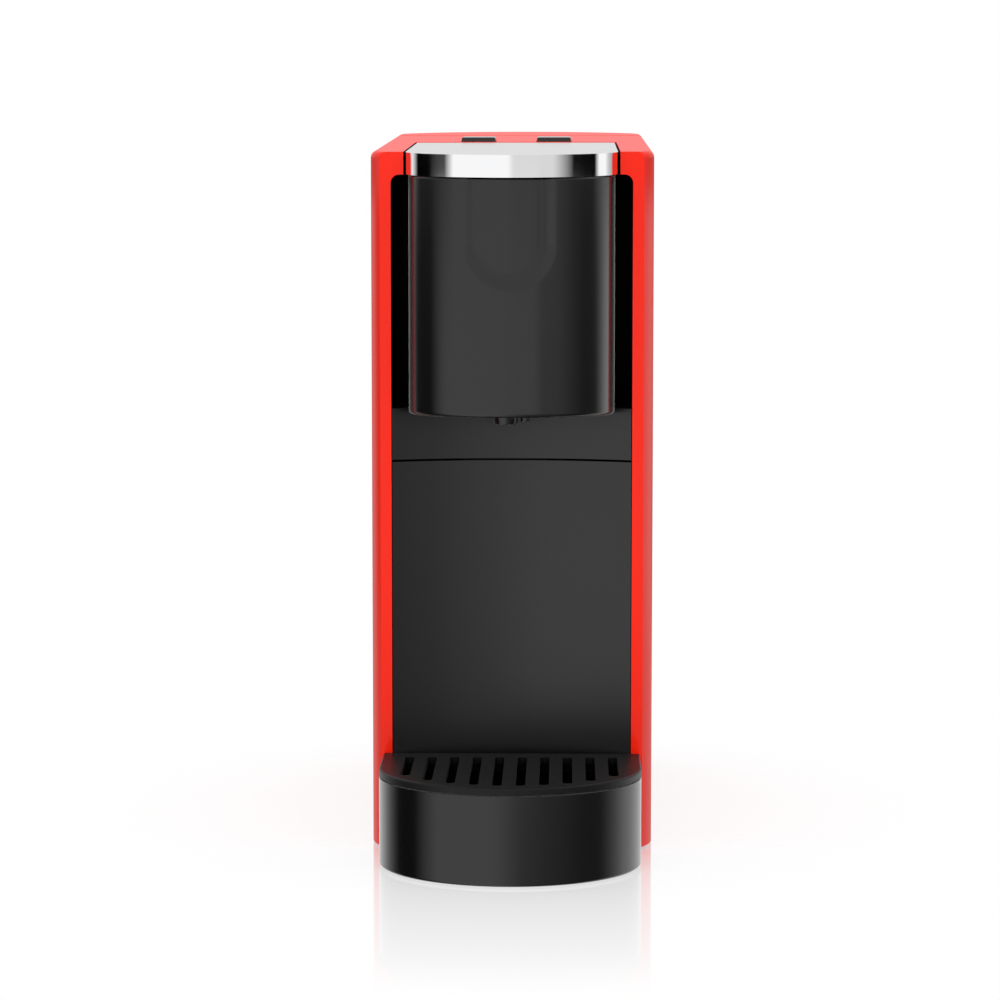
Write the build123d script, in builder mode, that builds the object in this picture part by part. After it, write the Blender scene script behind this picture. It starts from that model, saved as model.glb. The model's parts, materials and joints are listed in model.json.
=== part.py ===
from build123d import *
import math
import os

# Slim capsule espresso machine, millimetres.  +Z is up, the front faces -Y and the
# origin is on the counter, under the middle of the machine's overall box.

os.makedirs("parts", exist_ok=True)

# ---- driving dimensions: body ------------------------------------------------
HALF_W = 60.0            # half width of the red body
FRONT_Y = -85.0          # flat front face of the body
REAR_Y = 164.0           # furthest point of the bowed rear wall
REAR_BOW = 28.0          # depth of that bow
REAR_CORNER_R = 16.0
FRONT_FLAT_X = 55.5      # the flat front face ends here
SIDE_START_Y = -70.0     # the front rounding meets the straight side here
FRONT_ROUND_R = 27.25
TOP_FRONT_Z = 296.0      # top edge at the front face
TOP_REAR_Z = 312.0       # top edge at the rear
FLOOR_GAP = 1.0          # the body stands this far off the counter, on its feet
WALL = 2.5
TOP_EDGE_R = 3.0

# ---- recess in the front -----------------------------------------------------
RECESS_X = 50.8
RECESS_TOP_Z = 286.5
RECESS_R = 3.6
PANEL_X = 50.45
PANEL_BOW = 11.0         # the front panels are hollow by this much in the middle
PANEL_T = 3.0
SEAM_Z = 166.1           # seam between the drawer front and the fixed panel
PANEL_TOP_Z = 188.4
LINER_OUT_X = 53.4       # outer face of the channel liners beside the drum
LINER_IN_X = 43.9
LINER_FRONT_Y = -82.2
LINER_REAR_Y = -50.0
PANEL_LEDGE_Y = -72.0    # rear edge of the ledge on top of the fixed panel

# ---- head ----------------------------------------------------------------------
DRUM_X = 43.3
DRUM_OUT = 32.0          # how far the drum stands out in front of the body
DRUM_BOTTOM_Z = 186.4
DECK_DROP = 9.5          # the deck's top face lies this far under the slope of the top
DECK_T = 2.5
GROOVE_X = 16.0          # U-shaped groove on the drum, centreline half width
GROOVE_W = 6.5
GROOVE_BOTTOM_Z = 239.0
GROOVE_DEPTH = 0.6
SPOUT_Y = -100.0
SPOUT_BOTTOM_Z = 182.0

# ---- lever ---------------------------------------------------------------------
LEVER_X = 44.45
LEVER_OUT = 33.0
LEVER_SKIRT = 9.2
LEVER_SKIN = 1.5
SLOT_X = 45.45
SLOT_REAR_Y = 22.0
PIVOT_Y = 15.5
PIVOT_DROP = 5.7         # pivot under the sloped top
LEVER_SWING = 85.0       # degrees
PIN_R = 2.0
CAM_X0 = 29.5
CAM_T = 4.0
CAM_EDGE = 7.5           # half width of the cam plate around its slot

# ---- brew unit -----------------------------------------------------------------
CHAMBER_Z = 236.0
CHAMBER_FRONT_Y = -60.0
CHAMBER_L = 36.0
CHAMBER_R = 21.5
CHAMBER_TRAVEL = 30.0
ROD_R = 2.5
ROD_Y = -38.0
ROD_Z = 276.0
RUN_CLEAR = 0.15         # clearance of the rod in its slots
CHEEK_X0 = 36.0
CHEEK_T = 2.5

# ---- chassis -------------------------------------------------------------------
DECKING_Z = 166.0        # underside of the chassis shelf
DECKING_T = 3.0
BULKHEAD_Y = 4.0
BASE_TOP_Z = 4.0

# ---- tray, grate, drawer ---------------------------------------------------------
TRAY_X = 54.5
TRAY_STRAIGHT = 32.0     # straight sides in front of the body
TRAY_OUT = 79.0
TRAY_TOP_Z = 37.8
GRATE_Z0 = 38.3
GRATE_T = 3.0
GRATE_SLOTS = 10
GRATE_PITCH = 9.5
GRATE_SLOT_W = 4.0
BIN_X = 46.0
BIN_TOP_Z = 110.0

# ---- tank ------------------------------------------------------------------------
BAY_Y = 104.2            # the body ends here above the skirt
SKIRT_Z = 46.0
TANK_FRONT_Y = 105.2
TANK_Z0 = 46.3
TANK_TOP_Z = 297.6
TANK_WALL = 2.2
TANK_CX_Y = 130.0        # outlet valve axis
LID_PIN_Y = 110.4
LID_BARREL_R = 5.0

SLOPE = math.atan((TOP_REAR_Z - TOP_FRONT_Z) / (REAR_Y - FRONT_Y))


def top_z(y):
    """Height of the sloped top at depth y."""
    return TOP_FRONT_Z + (y - FRONT_Y) * math.tan(SLOPE)


def top_plane(drop):
    """The sloped top, lowered by drop."""
    return Plane(
        origin=(0, FRONT_Y, TOP_FRONT_Z - drop),
        x_dir=(1, 0, 0),
        z_dir=(0, -math.sin(SLOPE), math.cos(SLOPE)),
    )


PIVOT_Z = top_z(PIVOT_Y) - PIVOT_DROP
BARREL_R = PIVOT_DROP * math.cos(SLOPE)
LID_PIN_Z = top_z(LID_PIN_Y) - LID_BARREL_R / math.cos(SLOPE)


def body_outline(inset):
    """Plan of the body: flat front, rounded front corners, bowed rear."""
    side_end_y = REAR_Y - REAR_BOW
    with BuildSketch() as plan:
        with BuildLine():
            Line((-FRONT_FLAT_X, FRONT_Y), (FRONT_FLAT_X, FRONT_Y))
            RadiusArc((FRONT_FLAT_X, FRONT_Y), (HALF_W, SIDE_START_Y), -FRONT_ROUND_R)
            Line((HALF_W, SIDE_START_Y), (HALF_W, side_end_y))
            ThreePointArc((HALF_W, side_end_y), (0, REAR_Y), (-HALF_W, side_end_y))
            Line((-HALF_W, side_end_y), (-HALF_W, SIDE_START_Y))
            RadiusArc((-HALF_W, SIDE_START_Y), (-FRONT_FLAT_X, FRONT_Y), -FRONT_ROUND_R)
        make_face()
        rear_corners = plan.vertices().group_by(Axis.Y)[-1]
        fillet(rear_corners, REAR_CORNER_R)
        if inset > 0:
            offset(amount=-inset, kind=Kind.INTERSECTION)
    return plan.sketch


def bowed_front(half_x, y, straight, out):
    """Plan with its rear edge at y: straight sides, then half an ellipse to the front."""
    with BuildSketch() as plan:
        with BuildLine():
            Line((half_x, y), (-half_x, y))
            Line((-half_x, y), (-half_x, FRONT_Y - straight))
            EllipticalCenterArc(
                (0, FRONT_Y - straight), half_x, out - straight, start_angle=180, arc_size=180
            )
            Line((half_x, FRONT_Y - straight), (half_x, y))
        make_face()
    return plan.sketch


def hollow_front(half_x, front_shift, rear_y):
    """Plan behind the hollow front panels: a concave front edge and a straight rear."""
    y = FRONT_Y + front_shift
    with BuildSketch() as plan:
        with BuildLine():
            ThreePointArc((-half_x, y), (0, y + PANEL_BOW), (half_x, y))
            Polyline((half_x, y), (half_x, rear_y), (-half_x, rear_y), (-half_x, y))
        make_face()
    return plan.sketch


def block(x0, x1, y0, y1, z0, z1, mode=Mode.ADD):
    """A box given by its limits, made in the part being built."""
    with BuildSketch(Plane.XY.offset(z0)) as profile:
        with Locations(((x0 + x1) / 2, (y0 + y1) / 2)):
            Rectangle(x1 - x0, y1 - y0)
    extrude(profile.sketch, amount=z1 - z0, mode=mode)


def upright(x, y, r, z0, z1, mode=Mode.ADD):
    """A vertical round bar or hole."""
    with BuildSketch(Plane.XY.offset(z0)) as profile:
        with Locations((x, y)):
            Circle(r)
    extrude(profile.sketch, amount=z1 - z0, mode=mode)


def lengthwise(x, z, r, y0, y1, mode=Mode.ADD):
    """A round bar or hole along Y."""
    with BuildSketch(Plane(origin=(x, y0, z), x_dir=(1, 0, 0), z_dir=(0, 1, 0))) as profile:
        Circle(r)
    extrude(profile.sketch, amount=y1 - y0, mode=mode)


def crosswise(y, z, r, x0, x1, mode=Mode.ADD):
    """A round bar or hole along X."""
    with BuildSketch(Plane.YZ.offset(x0)) as profile:
        with Locations((y, z)):
            Circle(r)
    extrude(profile.sketch, amount=x1 - x0, mode=mode)


def cam_path(steps=8):
    """Centre of the rod, seen from the lever, while the lever opens.

    The rod moves straight back in proportion to the lever's angle, so the slot that
    drives it is that line turned back about the pivot by the same angle.
    """
    points = []
    for step in range(steps + 1):
        share = step / steps
        angle = math.radians(LEVER_SWING) * share
        y = ROD_Y + CHAMBER_TRAVEL * share - PIVOT_Y
        z = ROD_Z - PIVOT_Z
        points.append(
            (
                PIVOT_Y + y * math.cos(angle) - z * math.sin(angle),
                PIVOT_Z + y * math.sin(angle) + z * math.cos(angle),
            )
        )
    return points


def cam_band(half_width):
    """A round-ended band around the cam path, in the YZ plane."""
    path = cam_path()
    left = []
    right = []
    for i, (y, z) in enumerate(path):
        before = path[max(i - 1, 0)]
        after = path[min(i + 1, len(path) - 1)]
        run = math.hypot(after[0] - before[0], after[1] - before[1])
        ny = -(after[1] - before[1]) / run * half_width
        nz = (after[0] - before[0]) / run * half_width
        left.append((y + ny, z + nz))
        right.append((y - ny, z - nz))
    with BuildSketch() as band:
        with BuildLine():
            Spline(left)
            Spline(right)
            Line(left[0], right[0])
            Line(left[-1], right[-1])
        make_face()
        with Locations(path[0], path[-1]):
            Circle(half_width)
    return band.sketch


def tube(points, radius, bend):
    """A hose along straight runs joined by arcs."""
    with BuildPart() as hose:
        with BuildLine() as route:
            FilletPolyline(*points, radius=bend)
        with BuildSketch(Plane(origin=points[0], z_dir=route.line % 0)):
            Circle(radius)
        sweep(path=route.line)
    return hose.part


def coil(x, y, z0, z1, radius, wire, turns):
    """A compression spring with its foot at z0 and its top at z1."""
    with BuildPart() as spring:
        with BuildLine() as wire_line:
            Helix(pitch=(z1 - z0 - 2 * wire) / turns, height=z1 - z0 - 2 * wire, radius=radius,
                  center=(x, y, z0 + wire))
        with BuildSketch(Plane(origin=wire_line.line @ 0, z_dir=wire_line.line % 0)):
            Circle(wire)
        sweep(path=wire_line.line)
    return spring.part


# ---- red housing ---------------------------------------------------------------
BOSS_X = 40.0            # rear screw bosses
BOSS_Y = 144.5
BUTTON_X = 17.15
BUTTON_Y = 33.0
BUTTON_W = 15.4
BUTTON_L = 14.0
BUTTON_PROUD = 2.0
BUTTON_TRAVEL = 1.5
BOARD_Z = 291.5
BOARD_T = 1.6
INLET_W = 30.6
INLET_H = 23.6
INLET_Z = 24.0
SWITCH_Y = 108.0
SWITCH_Z = 24.0
SWITCH_L = 20.0
SWITCH_H = 15.0

with BuildPart() as inside_of_body:
    with BuildSketch(Plane.XY.offset(FLOOR_GAP)):
        add(body_outline(WALL))
    extrude(amount=TOP_REAR_Z + 10)
    split(bisect_by=top_plane(WALL), keep=Keep.BOTTOM)

with BuildPart() as housing_shell:
    with BuildSketch(Plane.XY.offset(FLOOR_GAP)):
        add(body_outline(0))
    extrude(amount=TOP_REAR_Z + 10)
    split(bisect_by=top_plane(0), keep=Keep.BOTTOM)
    top_rim = housing_shell.faces().sort_by(Axis.Z)[-1].edges()
    fillet(top_rim.filter_by(lambda e: e.center().Y > FRONT_Y + 1), TOP_EDGE_R)
    add(inside_of_body.part, mode=Mode.SUBTRACT)
    # the tank's bay, above the rear skirt
    block(-80, 80, BAY_Y, REAR_Y + 10, SKIRT_Z, TOP_REAR_Z + 20, mode=Mode.SUBTRACT)
    # front recess with round top corners
    with BuildSketch(Plane.XZ.offset(-FRONT_Y - WALL - 1)) as recess:
        with Locations((0, RECESS_TOP_Z / 2)):
            Rectangle(2 * RECESS_X, RECESS_TOP_Z)
        fillet(recess.vertices().group_by(Axis.Y)[-1], RECESS_R)
    extrude(amount=WALL + 2, mode=Mode.SUBTRACT)
    # slot for the lever, through the bridge over the recess
    block(-SLOT_X, SLOT_X, FRONT_Y - 1, SLOT_REAR_Y, RECESS_TOP_Z - 1, TOP_REAR_Z,
          mode=Mode.SUBTRACT)
    # button holes
    for side in (-1, 1):
        block(side * BUTTON_X - BUTTON_W / 2 - 0.35, side * BUTTON_X + BUTTON_W / 2 + 0.35,
              BUTTON_Y - BUTTON_L / 2 - 0.35, BUTTON_Y + BUTTON_L / 2 + 0.35,
              top_z(BUTTON_Y) - 8, TOP_REAR_Z, mode=Mode.SUBTRACT)
    # posts that carry the button board
    for side in (-1, 1):
        block(side * 29.6 - 1.2, side * 29.6 + 1.2, 31, 35, BOARD_Z + BOARD_T, top_z(31) - 1)
    # openings for the mains inlet and the switch
    block(-INLET_W / 2 - 0.1, INLET_W / 2 + 0.1, REAR_Y - 8, REAR_Y + 1,
          INLET_Z - INLET_H / 2 - 0.1, INLET_Z + INLET_H / 2 + 0.1, mode=Mode.SUBTRACT)
    block(HALF_W - WALL - 1, HALF_W + 1, SWITCH_Y - SWITCH_L / 2 - 0.1,
          SWITCH_Y + SWITCH_L / 2 + 0.1, SWITCH_Z - SWITCH_H / 2 - 0.1,
          SWITCH_Z + SWITCH_H / 2 + 0.1, mode=Mode.SUBTRACT)
    # rear bosses for the base screws
    for side in (-1, 1):
        block(side * BOSS_X - 4, side * BOSS_X + 4, BOSS_Y - 5, BOSS_Y + 5.5,
              BASE_TOP_Z + 0.1, BASE_TOP_Z + 14)
        upright(side * BOSS_X, BOSS_Y, 1.5, BASE_TOP_Z, BASE_TOP_Z + 12, mode=Mode.SUBTRACT)
housing_shell.part.label = "housing_shell"
export_step(housing_shell.part, "parts/housing_shell.step")

# ---- black front panel, with the deep recess beside the drum --------------------
with BuildPart() as front_panel:
    with BuildSketch(Plane.XY.offset(SEAM_Z + 0.4)):
        add(hollow_front(PANEL_X, 0, FRONT_Y + PANEL_BOW + PANEL_T))
        add(hollow_front(PANEL_X - PANEL_T, PANEL_T, FRONT_Y + PANEL_BOW + PANEL_T + 1),
            mode=Mode.SUBTRACT)
    extrude(amount=PANEL_TOP_Z - SEAM_Z - 0.4)
    with BuildSketch(Plane.XY.offset(PANEL_TOP_Z - PANEL_T)):
        add(hollow_front(PANEL_X, 0, PANEL_LEDGE_Y))
    extrude(amount=PANEL_T)
    for side in (-1, 1):
        outer = side * LINER_OUT_X
        inner = side * LINER_IN_X
        wall = side * RECESS_X
        block(min(outer, inner), max(outer, inner), LINER_FRONT_Y, LINER_REAR_Y,
              PANEL_TOP_Z - PANEL_T, PANEL_TOP_Z)
        block(min(outer, wall), max(outer, wall), LINER_FRONT_Y, LINER_REAR_Y,
              PANEL_TOP_Z, RECESS_TOP_Z)
        block(min(outer, inner), max(outer, inner), LINER_REAR_Y - 2, LINER_REAR_Y,
              PANEL_TOP_Z, RECESS_TOP_Z)
front_panel.part.label = "front_panel"
export_step(front_panel.part, "parts/front_panel.step")

# ---- head cover: the drum over the brew unit ---------------------------------------
with BuildPart() as drum_core:
    with BuildSketch(Plane.XY.offset(DRUM_BOTTOM_Z + WALL)):
        add(bowed_front(DRUM_X - WALL, LINER_REAR_Y + 10, 0, DRUM_OUT - WALL))
    extrude(amount=TOP_REAR_Z - DRUM_BOTTOM_Z)

with BuildPart() as drum_groove:
    with BuildSketch(Plane.XZ.offset(-FRONT_Y)) as groove:
        with Locations((0, GROOVE_BOTTOM_Z + GROOVE_X)):
            Circle(GROOVE_X + GROOVE_W / 2)
        with Locations((0, GROOVE_BOTTOM_Z + GROOVE_X + 40)):
            Rectangle(2 * GROOVE_X + GROOVE_W, 80)
        with Locations((0, GROOVE_BOTTOM_Z + GROOVE_X)):
            Circle(GROOVE_X - GROOVE_W / 2, mode=Mode.SUBTRACT)
        with Locations((0, GROOVE_BOTTOM_Z + GROOVE_X + 40)):
            Rectangle(2 * GROOVE_X - GROOVE_W, 80, mode=Mode.SUBTRACT)
    extrude(amount=DRUM_OUT + 5)
    with BuildSketch(Plane.XY.offset(DRUM_BOTTOM_Z)):
        add(bowed_front(DRUM_X - GROOVE_DEPTH, FRONT_Y + 1, 0, DRUM_OUT - GROOVE_DEPTH))
    extrude(amount=TOP_REAR_Z - DRUM_BOTTOM_Z, mode=Mode.SUBTRACT)

with BuildPart() as head_cover:
    with BuildSketch(Plane.XY.offset(DRUM_BOTTOM_Z)):
        add(bowed_front(DRUM_X, LINER_REAR_Y - 2.3, 0, DRUM_OUT))
    extrude(amount=TOP_REAR_Z - DRUM_BOTTOM_Z)
    split(bisect_by=top_plane(DECK_DROP + DECK_T + 0.1), keep=Keep.BOTTOM)
    add(drum_core.part, mode=Mode.SUBTRACT)
    add(drum_groove.part, mode=Mode.SUBTRACT)
    with BuildSketch(Plane.XY.offset(DRUM_BOTTOM_Z - 1)):
        add(hollow_front(PANEL_X, -0.3, LINER_REAR_Y + 5))
    extrude(amount=WALL + 1.1, mode=Mode.SUBTRACT)
    upright(0, SPOUT_Y, 8.5, DRUM_BOTTOM_Z - 1, DRUM_BOTTOM_Z + 5, mode=Mode.SUBTRACT)
    upright(10, SPOUT_Y, 2.1, DRUM_BOTTOM_Z - 1, DRUM_BOTTOM_Z + 5, mode=Mode.SUBTRACT)
    bottom_rim = head_cover.faces().sort_by(Axis.Z)[0].outer_wire().edges()
    fillet(bottom_rim.filter_by(GeomType.ELLIPSE), 1.5)
head_cover.part.label = "head_cover"
export_step(head_cover.part, "parts/head_cover.step")

# ---- deck under the lever, with the capsule opening and the cam slots ---------------
CAPSULE_X = 19.5
CAPSULE_Y0 = -62.0
CAPSULE_Y1 = -28.0
DECK_REAR_Y = 6.0
with BuildPart() as head_deck:
    with BuildSketch(Plane.XY.offset(PANEL_TOP_Z)):
        add(bowed_front(DRUM_X, DECK_REAR_Y, 0, DRUM_OUT))
    extrude(amount=TOP_REAR_Z - PANEL_TOP_Z)
    split(bisect_by=top_plane(DECK_DROP), keep=Keep.BOTTOM)
    split(bisect_by=top_plane(DECK_DROP + DECK_T), keep=Keep.TOP)
    block(-CAPSULE_X, CAPSULE_X, CAPSULE_Y0, CAPSULE_Y1, PANEL_TOP_Z, TOP_REAR_Z,
          mode=Mode.SUBTRACT)
    for x0 in (CAM_X0, -CAM_X0 - CAM_T):
        block(x0 - 0.6, x0 + CAM_T + 0.6, -53, DECK_REAR_Y + 1, PANEL_TOP_Z, TOP_REAR_Z,
              mode=Mode.SUBTRACT)
head_deck.part.label = "head_deck"
export_step(head_deck.part, "parts/head_deck.step")

# ---- lever: chrome cover, frame with two cam plates, pin -------------------------------
with BuildPart() as lever_core:
    with BuildSketch(Plane.XY.offset(PANEL_TOP_Z)):
        add(bowed_front(LEVER_X - LEVER_SKIN, PIVOT_Y + 8, 0, LEVER_OUT - LEVER_SKIN))
    extrude(amount=TOP_REAR_Z - PANEL_TOP_Z)
    split(bisect_by=top_plane(LEVER_SKIN), keep=Keep.BOTTOM)

with BuildPart() as lever_cover:
    with BuildSketch(Plane.XY.offset(PANEL_TOP_Z)):
        add(bowed_front(LEVER_X, PIVOT_Y, 0, LEVER_OUT))
    extrude(amount=TOP_REAR_Z - PANEL_TOP_Z)
    split(bisect_by=top_plane(0), keep=Keep.BOTTOM)
    split(bisect_by=top_plane(LEVER_SKIRT), keep=Keep.TOP)
    add(lever_core.part, mode=Mode.SUBTRACT)
    # the rear end curls over the pivot
    with BuildSketch(Plane.YZ.offset(-LEVER_X)):
        with Locations((PIVOT_Y, PIVOT_Z)):
            Circle(BARREL_R)
            Circle(BARREL_R - LEVER_SKIN, mode=Mode.SUBTRACT)
        with Locations((PIVOT_Y - 10, PIVOT_Z)):
            Rectangle(20, 20, mode=Mode.SUBTRACT)
        with Locations((PIVOT_Y, PIVOT_Z - 10)):
            Rectangle(20, 20, mode=Mode.SUBTRACT)
    extrude(amount=2 * LEVER_X)
    block(-LEVER_X - 1, LEVER_X + 1, PIVOT_Y - 6.5, PIVOT_Y, PANEL_TOP_Z,
          PIVOT_Z - 2, mode=Mode.SUBTRACT)
lever_cover.part.label = "lever_cover"
export_step(lever_cover.part, "parts/lever_cover.step")

FRAME_GAP = 0.2
# outline of the cam plates in the YZ plane, from the lever's underside down round the cam
CAM_PLATE = [(-45.4, 291), (-44, 276), (-25, 262), (1, 255.5), (22, 262),
             (PIVOT_Y + 2, PIVOT_Z), (8, 293.5), (-45.4, 291)]
with BuildPart() as lever_frame:
    with BuildSketch(Plane.XY.offset(PANEL_TOP_Z)):
        add(bowed_front(LEVER_X - LEVER_SKIN - FRAME_GAP, PIVOT_Y, 0,
                        LEVER_OUT - LEVER_SKIN - FRAME_GAP))
    extrude(amount=TOP_REAR_Z - PANEL_TOP_Z)
    split(bisect_by=top_plane(LEVER_SKIN + FRAME_GAP), keep=Keep.BOTTOM)
    split(bisect_by=top_plane(LEVER_SKIRT - 0.6), keep=Keep.TOP)
    # thin web towards the pivot
    block(-60, 60, PIVOT_Y - 7, PIVOT_Y + 1, PANEL_TOP_Z, PIVOT_Z + 1.0, mode=Mode.SUBTRACT)
    crosswise(PIVOT_Y, PIVOT_Z, BARREL_R - LEVER_SKIN - FRAME_GAP, -LEVER_X + 2, LEVER_X - 2)
    for x0 in (CAM_X0, -CAM_X0 - CAM_T):
        with BuildSketch(Plane.YZ.offset(x0)):
            add(cam_band(CAM_EDGE))
            with BuildLine():
                Polyline(*CAM_PLATE)
            make_face()
        extrude(amount=CAM_T)
        with BuildSketch(Plane.YZ.offset(x0)):
            add(cam_band(ROD_R + RUN_CLEAR))
        extrude(amount=CAM_T, mode=Mode.SUBTRACT)
    # room for the ears of the brew frame
    for x0 in (CHEEK_X0, -CHEEK_X0 - CHEEK_T):
        block(x0 - 0.4, x0 + CHEEK_T + 0.4, PIVOT_Y - 6.5, PIVOT_Y + 8, PIVOT_Z - 12,
              TOP_REAR_Z, mode=Mode.SUBTRACT)
    crosswise(PIVOT_Y, PIVOT_Z, PIN_R, -60, 60, mode=Mode.SUBTRACT)
lever_frame.part.label = "lever_frame"
export_step(lever_frame.part, "parts/lever_frame.step")

with BuildPart() as lever_pin:
    crosswise(PIVOT_Y, PIVOT_Z, PIN_R, -LEVER_X + 2.2, LEVER_X - 2.2)
    chamfer(lever_pin.edges().filter_by(GeomType.CIRCLE), 0.4)
lever_pin.part.label = "lever_pin"
export_step(lever_pin.part, "parts/lever_pin.step")

# ---- brew frame: two cheeks that carry the pivot and guide the rod -----------------------
EAR_R = 3.9
EAR_NECK_CLEAR = 0.4     # the neck stays in front of the pivot, clear of the turning barrel
EAR_ROOT_Z = 255.0
FRAME_TOP_Z = 283.0
FRAME_REAR_Y = PIVOT_Y + 12
with BuildPart() as brew_frame:
    for x0 in (CHEEK_X0, -CHEEK_X0 - CHEEK_T):
        with BuildSketch(Plane.YZ.offset(x0)):
            with BuildLine():
                Polyline((-66, DECKING_Z + DECKING_T), (-66, FRAME_TOP_Z), (5, FRAME_TOP_Z),
                         (11, 276), (PIVOT_Y + 4, 262), (FRAME_REAR_Y, 220),
                         (FRAME_REAR_Y, DECKING_Z + DECKING_T), (-66, DECKING_Z + DECKING_T))
            make_face()
            with Locations((PIVOT_Y - (EAR_R + EAR_NECK_CLEAR) / 2, (PIVOT_Z + EAR_ROOT_Z) / 2)):
                Rectangle(EAR_R - EAR_NECK_CLEAR, PIVOT_Z - EAR_ROOT_Z)
            with Locations((PIVOT_Y, PIVOT_Z)):
                Circle(EAR_R)
                Circle(PIN_R + 0.05, mode=Mode.SUBTRACT)
            with Locations((ROD_Y + CHAMBER_TRAVEL / 2, ROD_Z)):
                SlotCenterToCenter(CHAMBER_TRAVEL, 2 * (ROD_R + RUN_CLEAR), mode=Mode.SUBTRACT)
        extrude(amount=CHEEK_T)
    block(-CHEEK_X0, CHEEK_X0, FRAME_REAR_Y - CHEEK_T, FRAME_REAR_Y, DECKING_Z + DECKING_T, 214)
brew_frame.part.label = "brew_frame"
export_step(brew_frame.part, "parts/brew_frame.step")

# ---- moving brew chamber --------------------------------------------------------------
CHAMBER_REAR_Y = CHAMBER_FRONT_Y + CHAMBER_L
with BuildPart() as brew_chamber:
    lengthwise(0, CHAMBER_Z, CHAMBER_R, CHAMBER_FRONT_Y, CHAMBER_REAR_Y)
    block(-27.5, 27.5, ROD_Y - 6, ROD_Y + 6, CHAMBER_Z - 10, CHAMBER_Z + 10)
    for x0 in (24.0, -27.5):
        block(x0, x0 + 3.5, ROD_Y - 6, ROD_Y + 6, CHAMBER_Z, ROD_Z + 6)
    # the cup that holds the capsule, open to the front
    with BuildSketch(Plane.XY.offset(CHAMBER_Z)):
        with BuildLine():
            Polyline((0, CHAMBER_FRONT_Y), (18.5, CHAMBER_FRONT_Y), (18.5, CHAMBER_FRONT_Y + 1.5),
                     (15.5, CHAMBER_FRONT_Y + 2.5), (12.5, CHAMBER_FRONT_Y + 28),
                     (0, CHAMBER_FRONT_Y + 30), (0, CHAMBER_FRONT_Y))
        make_face()
    revolve(axis=Axis((0, 0, CHAMBER_Z), (0, 1, 0)), mode=Mode.SUBTRACT)
    lengthwise(0, CHAMBER_Z, 4.5, CHAMBER_REAR_Y, CHAMBER_REAR_Y + 7)
    lengthwise(0, CHAMBER_Z, 1.2, CHAMBER_REAR_Y - 10, CHAMBER_REAR_Y + 8, mode=Mode.SUBTRACT)
    crosswise(ROD_Y, ROD_Z, ROD_R, -40, 40, mode=Mode.SUBTRACT)
brew_chamber.part.label = "brew_chamber"
export_step(brew_chamber.part, "parts/brew_chamber.step")

with BuildPart() as chamber_rod:
    crosswise(ROD_Y, ROD_Z, ROD_R, -CHEEK_X0 - CHEEK_T, CHEEK_X0 + CHEEK_T)
    chamfer(chamber_rod.edges().filter_by(GeomType.CIRCLE), 0.4)
chamber_rod.part.label = "chamber_rod"
export_step(chamber_rod.part, "parts/chamber_rod.step")

GASKET_T = 3.2
with BuildPart() as chamber_gasket:
    lengthwise(0, CHAMBER_Z, 20.5, CHAMBER_FRONT_Y - GASKET_T, CHAMBER_FRONT_Y)
    lengthwise(0, CHAMBER_Z, 18.5, CHAMBER_FRONT_Y - GASKET_T - 1, CHAMBER_FRONT_Y + 1,
               mode=Mode.SUBTRACT)
chamber_gasket.part.label = "chamber_gasket"
export_step(chamber_gasket.part, "parts/chamber_gasket.step")

# three needles that pierce the capsule, pressed into the bottom of the cup
with BuildPart() as piercing_needles:
    for angle in (90, 210, 330):
        x = 7 * math.cos(math.radians(angle))
        z = CHAMBER_Z + 7 * math.sin(math.radians(angle))
        lengthwise(x, z, 1.2, CHAMBER_FRONT_Y + 23, CHAMBER_FRONT_Y + 28.6)
piercing_needles.part.label = "piercing_needles"
export_step(piercing_needles.part, "parts/piercing_needles.step")

# ---- fixed front of the brew unit: extraction plate, funnel and spout ------------------
PLATE_Y0 = -66.0
PLATE_Y1 = -63.5
with BuildPart() as extraction_plate:
    lengthwise(0, CHAMBER_Z, 20.5, PLATE_Y0, PLATE_Y1)
    with BuildSketch(Plane(origin=(0, PLATE_Y0 - 1, CHAMBER_Z), x_dir=(1, 0, 0),
                           z_dir=(0, 1, 0))):
        with GridLocations(4, 4, 6, 6):
            Circle(0.6)
    extrude(amount=PLATE_Y1 - PLATE_Y0 + 2, mode=Mode.SUBTRACT)
extraction_plate.part.label = "extraction_plate"
export_step(extraction_plate.part, "parts/extraction_plate.step")

FUNNEL_Y0 = -71.0
with BuildPart() as outlet_funnel:
    block(-38.5, 38.5, FUNNEL_Y0, PLATE_Y0, 206, 266)
    lengthwise(0, CHAMBER_Z, 17, FUNNEL_Y0 + 2, PLATE_Y0 + 1, mode=Mode.SUBTRACT)
    block(-9, 9, -109, FUNNEL_Y0, 196, 226)
    block(-6.5, 6.5, -106, PLATE_Y0 - 1.5, 212, 223, mode=Mode.SUBTRACT)
    upright(0, SPOUT_Y, 3.5, 190, 214, mode=Mode.SUBTRACT)
outlet_funnel.part.label = "outlet_funnel"
export_step(outlet_funnel.part, "parts/outlet_funnel.step")

with BuildPart() as spout:
    with BuildSketch(Plane.XY.offset(SPOUT_BOTTOM_Z)):
        with Locations((0, SPOUT_Y)):
            Circle(6.4)
    with BuildSketch(Plane.XY.offset(DRUM_BOTTOM_Z + WALL + 0.6)):
        with Locations((0, SPOUT_Y)):
            Circle(7.6)
    loft()
    upright(0, SPOUT_Y, 13.5, DRUM_BOTTOM_Z + WALL + 0.6, DRUM_BOTTOM_Z + WALL + 2.6)
    upright(0, SPOUT_Y, 8, DRUM_BOTTOM_Z + WALL + 2.6, 196)
    # small vent outlet beside the spout
    upright(10, SPOUT_Y, 1.7, DRUM_BOTTOM_Z - 1.2, DRUM_BOTTOM_Z + WALL + 0.6)
    upright(0, SPOUT_Y, 3.5, SPOUT_BOTTOM_Z - 1, 200, mode=Mode.SUBTRACT)
spout.part.label = "spout"
export_step(spout.part, "parts/spout.step")

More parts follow.
